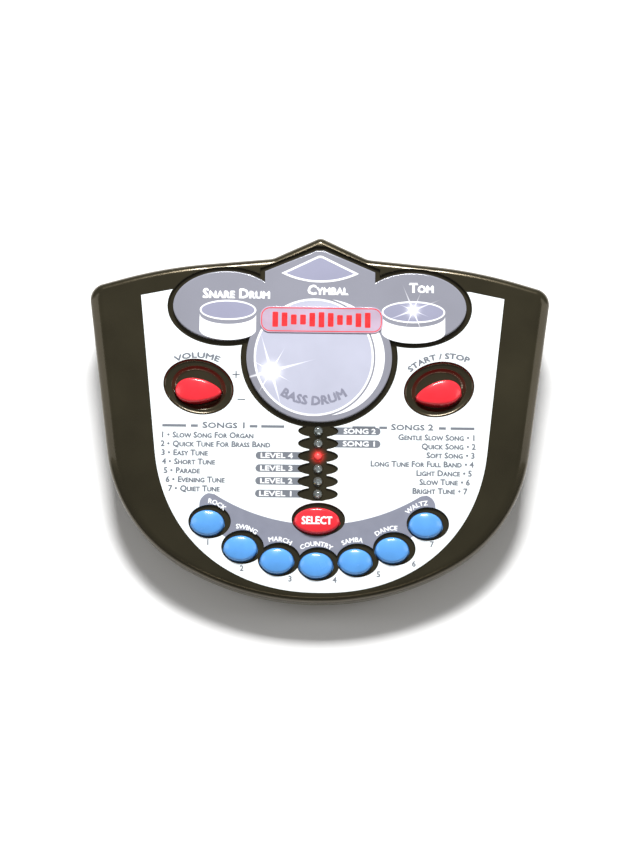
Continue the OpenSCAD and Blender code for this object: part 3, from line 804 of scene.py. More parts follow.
def make_upper_casing():
    rocker = at(ROCKER_PIN.x, ROCKER_PIN.y, 0, ROCKER_TURN)
    start = at(*START_AT, 0, START_TURN)
    mesh = to_mesh(upper_skin())
    mesh = cut(mesh, prism(casing(WALL), PARTING - 1, -FACE_T))
    root = -FACE_T + JOIN
    pad = prism(oval(DISH[0] + DISH_PAD, DISH[1] + DISH_PAD), DISH_FLOOR, root)
    ears = [moved(block((x - 1, -3, -10.2), (x + 1, 3, -4.9)), rocker) for x in (-EAR_X, EAR_X)]
    mesh = add(
        mesh,
        both_dishes(pad),
        together(ears),
        bosses(CASE_BOSSES, BOSS_R, PARTING, root),
        bosses(BOARD_BOSSES, BOSS_R, BOSS_END, root),
        bosses(BOX_BOSSES, BOSS_R, BOSS_END, root),
        side_bosses(BOSS_R, SIDE_BOSS_END, root)
    )
    select_hole = moved(prism(select_plan(CAP_GAP), -5, 1), at(*SELECT_AT))
    key_holes = [copies(prism(rhythm_plan(CAP_GAP), -5, 1), RHYTHM_AT), select_hole]
    well = pit(rhythm_well, WELL_CUT, WELL_LIP, -LABEL_DEPTH)
    return cut(
        mesh,
        bosses(CASE_BOSSES + BOARD_BOSSES + BOX_BOSSES, PILOT_R, -20, PILOT_TOP),
        side_bosses(PILOT_R, -20, PILOT_TOP),
        along_x(1, 40, rocker @ at(0, 0, ROCKER_PIN.z)),
        prism(label_plan(), -LABEL_DEPTH, 1),
        pit(lambda grow: window(GROOVE + grow), GROOVE_DEPTH, 0.5),
        prism(window(-3), -5, 1),
        dish_cutter(-1),
        dish_cutter(1),
        moved(prism(egg(CAP_GAP + 0.2), -9, 1), rocker),
        moved(prism(egg(CAP_GAP), -9, 1), start),
        *[moved(well, at(*place)) for place in WELL_AT],
        moved(pit(select_well, WELL_CUT, WELL_LIP, -LABEL_DEPTH), at(*SELECT_WELL_AT)),
        together(key_holes),
        pit(light_wells, 1 - LABEL_DEPTH, 0.15, -LABEL_DEPTH),
        copies(rod(LED_R + 0.1, -5, 1, 32), LIGHT_AT)
    )


FOOT_SHOWS = 2.5
FOOT_H = span("rubber_feet", BASE)[0].z + FOOT_SHOWS
FLOOR_TOP = FOOT_H + WALL
BASE_EDGE = 2.2
BAY = (30.7, 30, 87.2, 19.8)
BAY_WALL = 1.6
SPEAKER_R = 25
SPEAKER_RIM = 1.6
CLIP_REACH = SPEAKER_R + 4.4
CLIP_ANGLES = (30, 150, 270)
SEAT = FLOOR_TOP + 1.5
FEET = [(s * x, y) for s in (-1, 1) for x, y in ((74, -40), (84, 62))]
FOOT_R = 7
HINGE_Y = BAY[2] - 1.35
DOOR_T = 2
REAR_RISE, REAR_RUN = 5.6, 59.1
SWITCH_TURN = math.degrees(math.atan2(REAR_RISE, REAR_RUN))
SWITCH = FACE @ at(-58, 91.2 - 32 * REAR_RISE / REAR_RUN, -27, SWITCH_TURN)
GRILLE_PITCH = 6.5
GRILLE_R = 1.5
KNOB = (3.6, 2.6)
SLIDE = 5


def slant(points, height):
    """Points of the face's plan brought, along its normal, to a height above the table."""
    rise = height - FACE.translation.z
    return [(x, y, (rise - y * math.sin(TILT)) / math.cos(TILT)) for x, y in points]


def hinge_bar(radius, length):
    return along_x(radius, length, Matrix.Translation((0, HINGE_Y, FOOT_H + DOOR_T / 2)))


def make_lower_casing():
    to_face = FACE.inverted() @ BASE
    rings = [slant(casing(STEP + grow), FOOT_H + drop) for grow, drop in reversed(quarter(BASE_EDGE, 6))]
    rings.append(level(casing(STEP), PARTING))
    hollow = STEP + WALL
    inside = [slant(casing(hollow + 1), FLOOR_TOP), slant(casing(hollow), FLOOR_TOP + 1)]
    inside.append(level(casing(hollow), PARTING + 1))
    mesh = cut(to_mesh(skin(rings)), skin(inside))

    towers = []
    for x, y in CASE_BOSSES:
        plan = shifted(oval(10, 10, count=24), x, y)
        towers.append(skin([slant(plan, FOOT_H + 0.5), level(plan, PARTING)]))
    x, front, rear, top = BAY
    bay = block(
        (-x - BAY_WALL, front - BAY_WALL, FLOOR_TOP - JOIN),
        (x + BAY_WALL, rear + BAY_WALL, top + BAY_WALL)
    )
    seat = rod(SPEAKER_R + SPEAKER_RIM, FLOOR_TOP - JOIN, SEAT, 64)
    clip_at = [polar(CLIP_REACH, math.radians(a)) for a in CLIP_ANGLES]
    mesh = add(
        mesh,
        together(towers),
        moved(bay, to_face),
        moved(seat, to_face),
        moved(bosses(clip_at, BOSS_R, FLOOR_TOP - JOIN, SEAT + 1.2), to_face)
    )

    grille = [(0, 0)]
    for n in (1, 2, 3):
        grille += [polar(GRILLE_PITCH * n, TURN * k / (6 * n)) for k in range(6 * n)]
    return cut(
        mesh,
        moved(rod(SPEAKER_R - 3, FLOOR_TOP, SEAT + 5, 64), to_face),
        moved(bosses(clip_at, PILOT_R, SEAT - 1.2, SEAT + 5), to_face),
        bosses(CASE_BOSSES, 1.6, -60, PARTING + 1),
        bosses(CASE_BOSSES, 3.2, -60, PARTING - 4),
        moved(block((-x, front, 0), (x, rear, top)), to_face),
        moved(hinge_bar(0.88, 63.8), to_face),
        moved(bosses(grille, GRILLE_R, 0, 10), to_face),
        moved(copies(rod(FOOT_R + 0.1, 0, 3.3), FEET), to_face),
        moved(block((-5.1, -STEP - 3.75, -2), (5.1, -STEP + 3.75, 2)), FACE.inverted() @ SWITCH)
    )


piece("upper_casing", make_upper_casing(), FACE, CASING, stands_for=["upper_shell"])
piece("lower_casing", make_lower_casing(), FACE, CASING, stands_for=["lower_shell"])

# ---------- label, window and badge ----------

LENS = 1.0
FILM_GAP = 0.6


def well_cutters():
    """Cutters through the printed face for the keys' wells, one for each."""
    wells = [moved(prism(rhythm_well(PRINT_GAP), -1, 1), at(*place)) for place in WELL_AT]
    return [*wells, moved(prism(select_well(PRINT_GAP), -1, 1), at(*SELECT_WELL_AT))]


def make_label_film():
    film = to_mesh(prism(label_plan(0.05), -LABEL_DEPTH, LABEL_TOP_Z))
    return cut(
        film,
        prism(window(GROOVE + FILM_GAP), -1, 1),
        both_dishes(prism(oval(DISH[0] + FILM_GAP, DISH[1] + FILM_GAP, count=96), -1, 1)),
        *well_cutters(),
        prism(light_wells(LIGHT_GAP), -1, 1)
    )


def window_plate():
    return plate(lambda inset: window(-inset), -GROOVE_DEPTH, LENS, 0.7)


piece("printed_label", make_label_film(), FACE, LABEL, stands_for=["face_label"])
piece("drum_window_lens", window_plate(), FACE, WINDOW, stands_for=["drum_window"])

# ---------- printing ----------
# Legends are thin closed plates: flat outlines in millimetres of the face, given a thickness.

CAPITAL = 0.682
INK = 0.04
STRIKE_LIFT = 0.012


def type_line(text, cap, small=0.77, bold=0.06, width=None, align="CENTER"):
    """A line of capitals as flat points and faces; its lower-case letters come out as small capitals.

    Bold type is the same line struck four times, a share of its height apart.
    """
    curve = bpy.data.curves.new("line", "FONT")
    curve.body = text
    curve.size = cap / CAPITAL
    curve.align_x = align
    curve.resolution_u = 2
    curve.small_caps_scale = small
    for letter, style in zip(text, curve.body_format):
        style.use_small_caps = letter.islower()
    holder = in_scene("line", curve)
    graph = bpy.context.evaluated_depsgraph_get()
    mesh = bpy.data.meshes.new_from_object(holder.evaluated_get(graph))
    points = [(v.co.x, v.co.y) for v in mesh.vertices]
    faces = [tuple(f.vertices) for f in mesh.polygons]
    bpy.data.objects.remove(holder)
    if width:
        stretch = width / (max(p[0] for p in points) - min(p[0] for p in points))
        points = [(x * stretch, y) for x, y in points]
    push = bold * cap
    shifts = [(0, 0), (-push, -0.6 * push), (push, -0.6 * push), (0, push)]
    count = len(points)
    struck = [tuple(i + count * n for i in f) for n in range(len(shifts)) for f in faces]
    placed = [(x + dx, y + dy, STRIKE_LIFT * n) for n, (dx, dy) in enumerate(shifts) for x, y in points]
    return placed, struck


def put(flat, x, y, turn=0):
    """A flat pattern turned by degrees and moved."""
    c, s = math.cos(math.radians(turn)), math.sin(math.radians(turn))
    return [(x + c * p - s * q, y + s * p + c * q, *lift) for p, q, *lift in flat[0]], flat[1]


def arch(flat, centre, radius, middle=0):
    """A flat pattern bent over the top of a circle, its middle turned clockwise by degrees."""
    def bend(x, y, *lift):
        turn = math.radians(middle) + x / radius
        return centre[0] + (radius + y) * math.sin(turn), centre[1] + (radius + y) * math.cos(turn), *lift
    return [bend(*p) for p in flat[0]], flat[1]


def smile(flat, centre, radius):
    """A flat pattern bent along the bottom of a circle."""
    def bend(x, y, *lift):
        turn = x / radius
        return centre[0] + (radius - y) * math.sin(turn), centre[1] - (radius - y) * math.cos(turn), *lift
    return [bend(*p) for p in flat[0]], flat[1]


def fill(outline):
    return list(outline), [tuple(range(len(outline)))]


def bar(x0, x1, y, height):
    """A plain bar between two x, centred on y."""
    return fill([(x0, y - height / 2), (x1, y - height / 2), (x1, y + height / 2), (x0, y + height / 2)])


def inked(patterns, z, crown=None):
    """Flat patterns as thin closed plates about z; crown(x, y) adds a height to follow a key."""
    rise = crown or (lambda x, y: 0)
    shapes = []
    for points, faces in patterns:
        count = len(points)
        edges = {(f[k - 1], f[k]) for f in faces for k in range(len(f))}
        solid = [(x, y, z - INK + rise(x, y)) for x, y, *_ in points]
        solid += [(x, y, z + INK + sum(lift) + rise(x, y)) for x, y, *lift in points]
        sides = [tuple(reversed(f)) for f in faces]
        sides += [tuple(i + count for i in f) for f in faces]
        sides += [(a, b, b + count, a + count) for a, b in edges if (b, a) not in edges]
        shapes.append((solid, sides))
    return together(shapes)


def hoop(outer, inner):
    """A flat band between two outlines with the same number of points."""
    n = len(outer)
    faces = [(k, (k + 1) % n, n + (k + 1) % n, n + k) for k in range(n)]
    return list(outer) + list(inner), faces


def ring(centre, outer, inner):
    """An oval hoop between two pairs of half sizes."""
    outlines = [shifted(oval(2 * r[0], 2 * r[1], count=96), *centre) for r in (outer, inner)]
    return hoop(*outlines)


GREY_Z = LABEL_TOP_Z
WHITE_Z = LABEL_TOP_Z + 0.05
SONG_LISTS = {
    -1: [
        "Slow Song For Organ", "Quick Tune For Brass Band", "Easy Tune", "Short Tune",
        "Parade", "Evening Tune", "Quiet Tune"
    ],
    1: [
        "Gentle Slow Song", "Quick Song", "Soft Song", "Long Tune For Full Band",
        "Light Dance", "Slow Tune", "Bright Tune"
    ]
}
LIST_TOP = -7.7
LIST_PITCH = 4.84
LIST_EDGE = 84.6
LIST_BOW = 0.13
SONG_CAP = 3
SONG_DOT = 1.3
DOT_STEP = 4.2
TITLE_STEP = 6.4
HEADING_CAP = 3.1
HEADING_WIDTH = 22.4
HEADING_X = 50.4
HEADING_Y = -2.7
DASH_H = 1.4
DASHES = ((18.3, 30.7), (32.7, 36.9), (64.7, 68.5), (71, 83.8))
NAMES = ("Rock", "Swing", "March", "Country", "Samba", "Dance", "Waltz")
NAME_LEAN = -0.62
NUMBER_FROM_CAP = (
    (0.5, -10.2), (0.9, -10.4), (7.2, -9.3), (10, -7.5), (12.4, -6.4), (11.6, -7), (3.3, -9.9)
)
NUMBER_CAP = 2.9


def song_lists():
    patterns = []
    for side, songs in SONG_LISTS.items():
        align = "LEFT" if side < 0 else "RIGHT"
        for row, song in enumerate(songs):
            edge = side * (LIST_EDGE - LIST_BOW * row ** 2)
            y = LIST_TOP - LIST_PITCH * row - SONG_CAP / 2
            dot = oval(SONG_DOT, SONG_DOT, count=12)
            patterns.append(put(type_line(str(row + 1), SONG_CAP, align=align), edge, y))
            patterns.append(fill(shifted(dot, edge - side * DOT_STEP, y + SONG_CAP / 2)))
            patterns.append(put(type_line(song, SONG_CAP, align=align), edge - side * TITLE_STEP, y))
        heading = f"Songs {1 if side < 0 else 2}"
        heading = type_line(heading, HEADING_CAP, small=0.9, width=HEADING_WIDTH)
        patterns.append(put(heading, side * HEADING_X, HEADING_Y - 1.1))
        for near, far in DASHES:
            x0, x1 = sorted((side * near, side * far))
            patterns.append(bar(x0, x1, HEADING_Y, DASH_H))
    return patterns


def pill(row, side, reach):
    """A tab from one light's well out to a rounded end."""
    half = PILL_HALF
    rx, ry = LIGHT_WELL[0] / 2 + LIGHT_GAP, LIGHT_WELL[1] / 2 + LIGHT_GAP
    y = LIGHT_AT[row][1]
    steps = [half * k / 6 for k in range(6, -7, -1)]
    inner = [(rx * math.sqrt(1 - (q / ry) ** 2), y + q) for q in steps]
    outer = arc((reach - half, y), half, -90, 90, 10)
    outline = inner + outer
    return fill([(x, q) for x, q in outline] if side > 0 else [(-x, q) for x, q in reversed(outline)])


# Each tab's row, its side and its words, from the rear to the front
PILLS = [(0, 1, "Song 2"), (1, 1, "Song 1")]
PILLS += [(6 - number, -1, f"Level {number}") for number in (4, 3, 2, 1)]
PILL_REACH = 33.4
PILL_HALF = 2.05
PILL_CAP = 2.6
PILL_WIDTH = 17
PILL_TEXT_X = 22.2
NAME_CAP = 2.35
NAME_R = 14.6
NAME_STEP = 4
ARCHED_CAP = 2.9

# Words bent over the dishes: text, width, centre, radius and turn
ARCHED = (
    ("VOLUME", 23.5, (-65.8, 5.3), 29.3, 0),
    ("START / STOP", 33.2, (69.3, 6), 29.6, -10)
)


def rhythm_band():
    """The grey crescent behind the rhythm keys, cut away round their wells."""
    side = 63
    corner = (56.6, -45.4)
    top = 104
    top_centre = top - 55.5
    lean = math.degrees(math.asin(corner[0] / top))
    low = math.degrees(math.asin(side / 90))
    outline = arc((0, 13), 90, -90 - low, -90 + low, 48)
    outline += arc(corner, side - corner[0], 0, 76, 8)
    outline += arc((0, top_centre), top, -90 + lean - 1, -90 - lean + 1, 40)
    outline += [(-x, y) for x, y in reversed(arc(corner, side - corner[0], 0, 76, 8))]
    band = to_mesh(inked([fill(outline)], GREY_Z))
    return cut(band, *well_cutters())


def label_legends():
    patterns = song_lists()
    patterns += [pill(row, side, PILL_REACH) for row, side, _ in PILLS]
    for text, width, centre, radius, middle_turn in ARCHED:
        line = type_line(text, ARCHED_CAP, bold=0.08, width=width)
        patterns.append(arch(line, centre, radius, middle_turn))
    patterns.append(bar(-46.7, -42.7, 25.5, 0.7))
    patterns.append(fill(shifted(rounded_box(0.7, 4.2, 0.1, 1), -44.7, 25.5)))
    patterns.append(bar(-43.7, -39.5, 11.9, 0.7))
    for number, (cap, step) in enumerate(zip(RHYTHM_AT, NUMBER_FROM_CAP), 1):
        digit = type_line(str(number), NUMBER_CAP, bold=0.04)
        patterns.append(put(digit, cap[0] + step[0], cap[1] + step[1] - NUMBER_CAP / 2))
    return inked(patterns, GREY_Z)


def white_legends():
    patterns = []
    for row, side, text in PILLS:
        y = LIGHT_AT[row][1] - PILL_CAP / 2
        line = type_line(text.upper(), PILL_CAP, width=PILL_WIDTH)
        patterns.append(put(line, side * PILL_TEXT_X, y))
    for cap, angle, name in zip(RHYTHM_AT, ARC_ANGLES, NAMES):
        lean = NAME_LEAN * angle
        turn = math.radians(lean)
        centre = (cap[0] - NAME_STEP * math.sin(turn), cap[1] - NAME_STEP * math.cos(turn))
        line = type_line(name.upper(), NAME_CAP, bold=0.055)
        patterns.append(arch(line, centre, NAME_R, lean))
    return inked(patterns, WHITE_Z)


# The drums printed on the window
STROKE = 0.9
BASS_STROKE = 1.1
HEAD_DROP = 2.2
OVERPRINT = 0.03
DRUMS = {"snare": ((-49.7, 61), (15.3, 5.6), 44.4), "tom": ((50.8, 60.9), (17.2, 6.1), 43.6)}
BASS_RING = (-2.9, 35.5)
BASS_RING_R = 32.4
GAP_R = 33.3
SHELL_AT = (3.35, 35.5)
SHELL_R = 32.05
WINDOW_NAMES = (
    ("Snare Drum", 36, (-45.3, 67.7)),
    ("Cymbal", 21.6, (4.2, 70.2)),
    ("Tom", 12.8, (55.2, 71.9))
)


def cymbal(inset):
    """The cymbal's outline: a bowed foot and two straight sides that meet at the top."""
    foot_r = 46.6 - inset
    foot_y = 123.5
    slope = -0.4905
    apex = 92.3 - inset * math.hypot(1, slope)
    inner, outer = 0.0, 21.5
    for _ in range(30):
        x = (inner + outer) / 2
        above = apex + slope * x > foot_y - math.sqrt(foot_r ** 2 - x ** 2)
        inner, outer = (x, outer) if above else (inner, x)
    lean = math.degrees(math.asin(inner / foot_r))
    foot = arc((0, foot_y), foot_r, -90 - lean, -90 + lean, 24)
    return foot + [(1.2, apex + slope * 1.2), (0, apex + slope * 0.8), (-1.2, apex + slope * 1.2)]


def drum_body(centre, size, bottom):
    """The white side of a drum, under its head's front edge."""
    x, y = centre
    rx, ry = size
    rightwards = np.linspace(-math.pi, 0, 33)
    leftwards = np.linspace(0, -math.pi, 33)
    foot = [(x + rx * math.cos(t), bottom + ry + ry * math.sin(t)) for t in rightwards]
    front = [(x + rx * math.cos(t), y - HEAD_DROP + ry * math.sin(t)) for t in leftwards]
    return fill(foot + front)


def bass_head():
    width = 2 * (BASS_RING_R - 0.5)
    return inked([fill(shifted(oval(width, width, count=96), *BASS_RING))], LENS)


def small_heads():
    patterns = []
    for centre, (rx, ry), _ in DRUMS.values():
        patterns.append(fill(shifted(oval(2 * rx - 0.8, 2 * ry - 0.8), *centre)))
    patterns.append(fill(cymbal(STROKE / 2)))
    return inked(patterns, LENS)


def white_drums():
    patterns = []
    for centre, (rx, ry), bottom in DRUMS.values():
        patterns.append(ring(centre, (rx, ry), (rx - STROKE, ry - STROKE)))
        patterns.append(drum_body(centre, (rx, ry), bottom))
    patterns.append(hoop(cymbal(0), cymbal(BASS_STROKE)))
    patterns.append(ring(BASS_RING, (BASS_RING_R,) * 2, (BASS_RING_R - BASS_STROKE,) * 2))
    step = SHELL_AT[0] - BASS_RING[0]
    cross = (step ** 2 + GAP_R ** 2 - SHELL_R ** 2) / (2 * step)
    tip = math.degrees(math.acos((cross - step) / SHELL_R))
    root = math.degrees(math.acos(cross / GAP_R))
    outer = arc(SHELL_AT, SHELL_R, -tip, tip, 64)
    inner = arc(BASS_RING, GAP_R, root, -root, 64)
    patterns.append(fill(outer + inner))
    for text, width, place in WINDOW_NAMES:
        patterns.append(put(type_line(text, 5, small=0.74, bold=0.07, width=width), *place))
    return inked(patterns, LENS + OVERPRINT)


def bass_name():
    line = type_line("BASS DRUM", 4.6, bold=0.08, width=37.5)
    return inked([smile(line, (-2.7, 42.7), 33.5)], LENS + OVERPRINT)


piece("legends_grey", label_legends(), FACE, GREY_PRINT)
piece("rhythm_band", rhythm_band(), FACE, BAND_PRINT)
piece("legends_white", white_legends(), FACE, WHITE_PRINT)
piece("bass_head", bass_head(), FACE, BASS_HEAD)
piece("drum_heads", small_heads(), FACE, SMALL_HEAD)
piece("drum_outlines", white_drums(), FACE, WINDOW_PRINT)
piece("bass_name", bass_name(), FACE, BASS_PRINT)

# ---------- badge ----------

BADGE_AT = (1, 56)
BADGE = (66.6, 14.6, 5.5)
BADGE_T = 0.6
METER_BARS = 11
METER_PITCH = 5
METER_BAR = 3.1
METER_LEAST = 4.2
METER_BEND = 0.63


def badge_plan(inset):
    return rounded_box(BADGE[0] - 2 * inset, BADGE[1] - 2 * inset, BADGE[2] - inset)


def badge_marks():
    """A thin frame line and a plain row of level-meter bars."""
    patterns = [hoop(badge_plan(0.7), badge_plan(1.15))]
    for k in range(METER_BARS):
        step = k - (METER_BARS - 1) / 2
        height = METER_LEAST + METER_LEAST * abs(math.cos(step * METER_BEND))
        patterns.append(fill(shifted(rounded_box(METER_BAR, height, 0.5, 3), step * METER_PITCH, 0)))
    return inked(patterns, LENS + BADGE_T)


piece("badge_bar", plate(badge_plan, LENS - 0.1, LENS + BADGE_T, 0.25), FACE @ at(*BADGE_AT), BADGE_TINT,
      stands_for=["badge_plate"])
piece("badge_marks", badge_marks(), FACE @ at(*BADGE_AT), RED_PRINT)

# ---------- keys ----------

CROWN = 3.4
RHYTHM_DOME = 20
LONG_DOME = 34
FLANGE_T = 1.1
FLANGE_LIP = 1.2
FLANGE_EDGE = 0.2
POST_R = 2.4
POST_EDGE = 0.4
KEY_EDGE = 1.3
KEY_FLANGE, KEY_TIP = -2.9, -6.6
EGG_FLANGE, EGG_TIP = -5.5, -10.8


def dome(radius):
    """Height of a key's crown at a point of its plan."""
    return lambda x, y: CROWN - radius + math.sqrt(radius ** 2 - x * x - y * y)


def crown_rings(plan, radius):
    """Rings from the foot of a key's rounded edge to the top of its crown."""
    height = dome(radius)
    rings = []
    for inset, drop in quarter(KEY_EDGE, 6):
        rings.append([(x, y, height(x, y) - drop) for x, y in plan(-inset)])
    rim = plan(-KEY_EDGE)
    for share in (0.88, 0.72, 0.54, 0.36, 0.2, 0.08):
        rings.append([(x * share, y * share, height(x * share, y * share)) for x, y in rim])
    return rings


def push_key(plan, radius, flange, tip):
    """A domed cap on a flange and a centre post; plan(grow) gives its outline."""
    count = len(plan(0))
    low = flange - FLANGE_T
    post = [(POST_R - POST_EDGE, tip), (POST_R, tip + POST_EDGE), (POST_R, low)]
    rings = [level(oval(2 * r, 2 * r, 0, count), z) for r, z in post]
    rings += [level(plan(FLANGE_LIP), low), level(plan(FLANGE_LIP), flange - FLANGE_EDGE)]
    rings += [level(plan(FLANGE_LIP - FLANGE_EDGE), flange), level(plan(0), flange)]
    return skin(rings + crown_rings(plan, radius))


def rocker():
    """The volume rocker: an egg-shaped cap, the hub it turns on and two feet for its contacts."""
    rings = [level(egg(-0.3), -6), level(egg(0), -5.7)] + crown_rings(egg, LONG_DOME)
    feet = [block((-2.5, y - 1.2, -11.7), (2.5, y + 1.2, -5.75)) for y in (-4.8, 4.8)]
    hub = along_x(2.4, 20, at(0, 0, ROCKER_PIN.z))
    mesh = add(to_mesh(skin(rings)), hub, *feet)
    return cut(mesh, along_x(1.05, 40, at(0, 0, ROCKER_PIN.z)))


for number, place in enumerate(RHYTHM_AT, 1):
    node = f"rhythm_button_{number}"
    key = push_key(rhythm_plan, RHYTHM_DOME, KEY_FLANGE, KEY_TIP)
    piece(f"rhythm_key_{number}", key, FACE @ at(*place), BLUE,
          body=node, stands_for=[node])

piece("select_key", push_key(select_plan, LONG_DOME, KEY_FLANGE, KEY_TIP), FACE @ at(*SELECT_AT), RED,
      body="select_button", stands_for=["select_button"])
piece("select_legend", inked([put(type_line("SELECT", 3.9, width=16), 0, -1.9)], 0.02, dome(LONG_DOME)),
      FACE @ at(*SELECT_AT), WHITE_PRINT, body="select_button")
piece("start_stop_key", push_key(egg, LONG_DOME, EGG_FLANGE, EGG_TIP), FACE @ at(*START_AT, 0, START_TURN),
      RED, body="start_stop_button", stands_for=["start_stop_button"])
piece("volume_key", rocker(), FACE @ at(ROCKER_PIN.x, ROCKER_PIN.y, 0, ROCKER_TURN), RED,
      body="volume_rocker", stands_for=["volume_rocker"])

# ---------- indicator lights ----------

LIGHT_NODES = [text.lower().replace(" ", "_") + "_light" for _, _, text in PILLS]
LED_SHOULDER = -0.6
LED_FOOT = -3.5
LEAD_END = -10.4


def indicator():
    """A 5 mm lamp: a rim, a domed body and two leads down to the board."""
    turns = [TURN / 4 * k / 8 for k in range(8)]
    profile = [
        (LED_R + 0.25, LED_FOOT), (LED_R + 0.35, LED_FOOT + 0.1),
        (LED_R + 0.35, LED_FOOT + 0.8), (LED_R, LED_FOOT + 0.9)
    ]
    profile += [(LED_R * math.cos(t), LED_SHOULDER + LED_R * math.sin(t)) for t in turns]
    profile.append((0.15, LED_SHOULDER + LED_R))
    leads = [moved(rod(0.25, LEAD_END, LED_FOOT + 0.2, 12), at(x, 0)) for x in (-1.27, 1.27)]
    return add(to_mesh(lathe(profile)), together(leads))


def light_cups():
    """The small metal cup and post inside each lamp."""
    shapes = []
    for place in LIGHT_AT:
        cup = lathe([(0.5, -3), (0.55, -1.9), (0.95, -1.35), (0.95, -1.2), (0.6, -1.25)], 20)
        shapes.append(moved(cup, at(place[0] + 0.3, place[1])))
        shapes.append(moved(rod(0.28, -3, -1.1, 12), at(place[0] - 1, place[1])))
    return together(shapes)


for node, place in zip(LIGHT_NODES, LIGHT_AT):
    finish, slot = (LIT, "indicator_lit") if node == LIT_NODE else (CLEAR, "indicator_clear")
    piece(node.replace("_light", "_lamp"), indicator(), FACE @ at(*place), finish,
          stands_for=[node])
piece("lamp_cups", light_cups(), FACE, METAL)

# ---------- underside and rear ----------

GROOVE_PITCH = 2.2
RIB_PITCH = 1.2
RIB_HALF = 0.35
DOOR_GAP = 0.35


def foot_pad():
    """A rubber foot with a rounded rim and a sunk middle."""
    profile = [(4.4, 0.5), (4.7, 0.1), (5, 0), (6.2, 0), (6.8, 0.3), (7, 0.9), (7, 3.3)]
    return copies(lathe(profile), FEET)


def battery_door():
    x, front = BAY[0] - DOOR_GAP, BAY[1] + DOOR_GAP
    middle_y = (front + HINGE_Y) / 2
    depth = HINGE_Y - front

    def plan(inset):
        return shifted(rounded_box(2 * (x - inset), depth - 2 * inset, 0.6 + inset * 0.1, 4), 0, middle_y)

    rings = [level(plan(inset), FOOT_H + drop) for inset, drop in reversed(quarter(0.35, 4))]
    rings.append(level(plan(0), FOOT_H + DOOR_T))
    mesh = add(
        to_mesh(skin(rings)),
        hinge_bar(DOOR_T / 2, 2 * x),
        hinge_bar(0.8, 2 * x + 2.4),
        block((-7, front, FOOT_H + DOOR_T - 0.1), (7, front + 1.6, FOOT_H + DOOR_T + 2))
    )
    grooves = []
    for k in range(5):
        near = BAY[1] + 7.5 + GROOVE_PITCH * k
        far = BAY[1] + 8.5 + GROOVE_PITCH * k
        grooves.append(block((-8, near, 0), (8, far, FOOT_H + 0.6)))
    return cut(mesh, together(grooves))


def case_screws():
    """Pan heads with a crossed recess, looking down out of the base."""
    low = PARTING - 5.8
    profile = [(1.2, low), (1.9, low + 0.12), (2.45, low + 0.5), (2.7, low + 1), (2.7, low + 1.8)]
    profile += [(1.2, low + 1.8), (1.2, low + 12.2), (0.6, low + 12.8)]
    heads = to_mesh(copies(lathe(profile, 32), CASE_BOSSES))
    slots = [block((-a, -b, low - 1), (a, b, low + 0.9)) for a, b in ((1.5, 0.28), (0.28, 1.5))]
    return cut(heads, *[copies(slot, CASE_BOSSES) for slot in slots])


def slide_knob():
    x, z = KNOB[0] / 2, KNOB[1] / 2
    inner, outer = -STEP - WALL - 3, -STEP + 1.2
    stem = block((-x, inner, -z), (x, outer, z))
    ribs = []
    for k in (-1, 0, 1):
        low = (k * RIB_PITCH - RIB_HALF, outer - JOIN, -z)
        ribs.append(block(low, (k * RIB_PITCH + RIB_HALF, outer + 0.6, z)))
    return add(to_mesh(stem), *ribs)


piece("foot_pads", foot_pad(), BASE, RUBBER, stands_for=["rubber_feet"])
piece("battery_cover", battery_door(), BASE, CASING,
      body="battery_door", stands_for=["battery_door"])
piece("base_screws", case_screws(), FACE, STEEL, stands_for=["case_screws"])
piece("power_knob", slide_knob(), SWITCH @ Matrix.Translation((-SLIDE / 2, 0, 0)), KNOB_PLASTIC,
      body="switch_knob", stands_for=["switch_knob"])

# ---------- inner pieces that keep their CAD shape ----------

for entry in frame["record"]["subparts"]:
    holder = frame["nodes"][entry["node"]]
    material = INNER.get(entry["material_slot"])
    if material:
        holder.data.materials.clear()
        holder.data.materials.append(material)

# ---------- floor, lights and camera ----------

CAMERA_ELEVATION = 72
CAMERA_DISTANCE = 1.1
FIELD_HEIGHT = 0.464
CAMERA_TARGET = (0.0009, -0.0072, 0.03)
ROLL = 0.68
FLOOR_WHITE = 0.98
FLOOR_REACH = 4


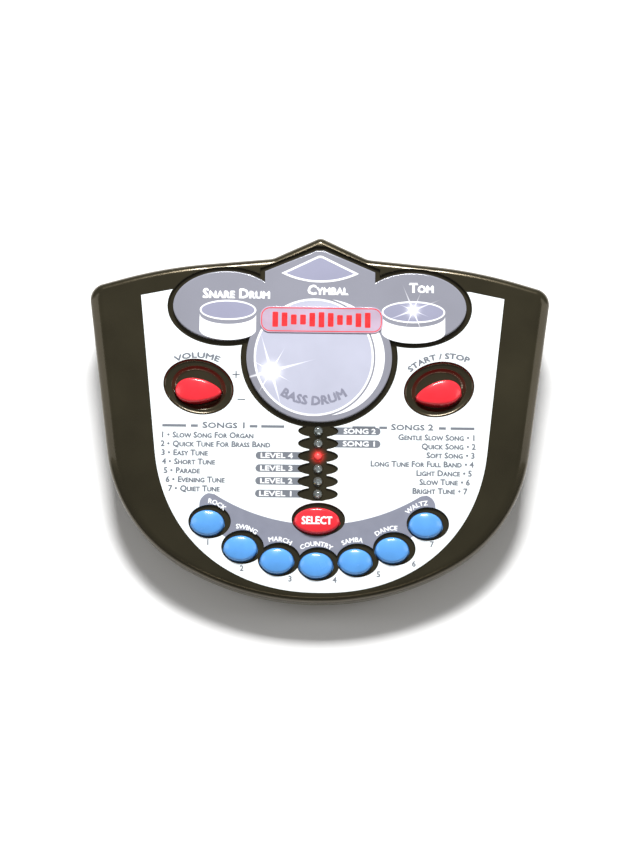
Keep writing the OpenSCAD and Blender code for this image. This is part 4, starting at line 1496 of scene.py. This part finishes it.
def make_stage():
    mesh = bpy.data.meshes.new("floor")
    reach = FLOOR_REACH
    corners = [(-reach, -reach, 0), (reach, -reach, 0), (reach, reach, 0), (-reach, reach, 0)]
    mesh.from_pydata(corners, [], [(0, 1, 2, 3)])
    floor = in_scene("floor", mesh)
    paint = Shader("floor_white", (FLOOR_WHITE,) * 3, 0.9)
    mesh.materials.append(paint.material)


def area_light(name, place, target, size, power, color=(1, 1, 1)):
    light = bpy.data.lights.new(name, "AREA")
    light.shape = "RECTANGLE"
    light.size, light.size_y = size
    light.energy = power
    light.color = color
    made = in_scene(name, light)
    made.location = place
    made.rotation_euler = (Vector(target) - Vector(place)).to_track_quat("-Z", "Y").to_euler()


def make_lights():
    world = bpy.data.worlds.new("studio")
    bpy.context.scene.world = world
    world.use_nodes = True
    sky = world.node_tree.nodes["Background"].inputs
    sky["Color"].default_value = (0.95, 0.97, 1, 1)
    sky["Strength"].default_value = 0.2
    area_light("key_rear", (0, 0.95, 1.25), (0, 0, 0), (0.5, 0.35), 40)
    for name, x in (("side_left", -1.1), ("side_right", 1.1)):
        area_light(name, (x, 0.1, 0.55), (0, 0, 0), (0.35, 1.2), 2)
    area_light("strip_front", (0, -0.95, 0.8), (0, 0, 0), (1.2, 0.06), 1.2, (1, 0.88, 0.66))


def make_camera():
    data = bpy.data.cameras.new("camera")
    data.sensor_width = 36
    data.lens = data.sensor_width * CAMERA_DISTANCE / FIELD_HEIGHT
    camera = in_scene("camera", data)
    elevation = math.radians(CAMERA_ELEVATION)
    back = Vector((0, -math.cos(elevation), math.sin(elevation)))
    target = Vector(CAMERA_TARGET)
    camera.location = target + back * CAMERA_DISTANCE
    camera.rotation_mode = "QUATERNION"
    level_view = (-back).to_track_quat("-Z", "Y").to_matrix()
    tilt = Matrix.Rotation(math.radians(ROLL), 3, back)
    camera.rotation_quaternion = (tilt @ level_view).to_quaternion()
    bpy.context.scene.camera = camera
    bpy.context.scene.view_settings.view_transform = "Standard"


make_stage()
make_lights()
make_camera()
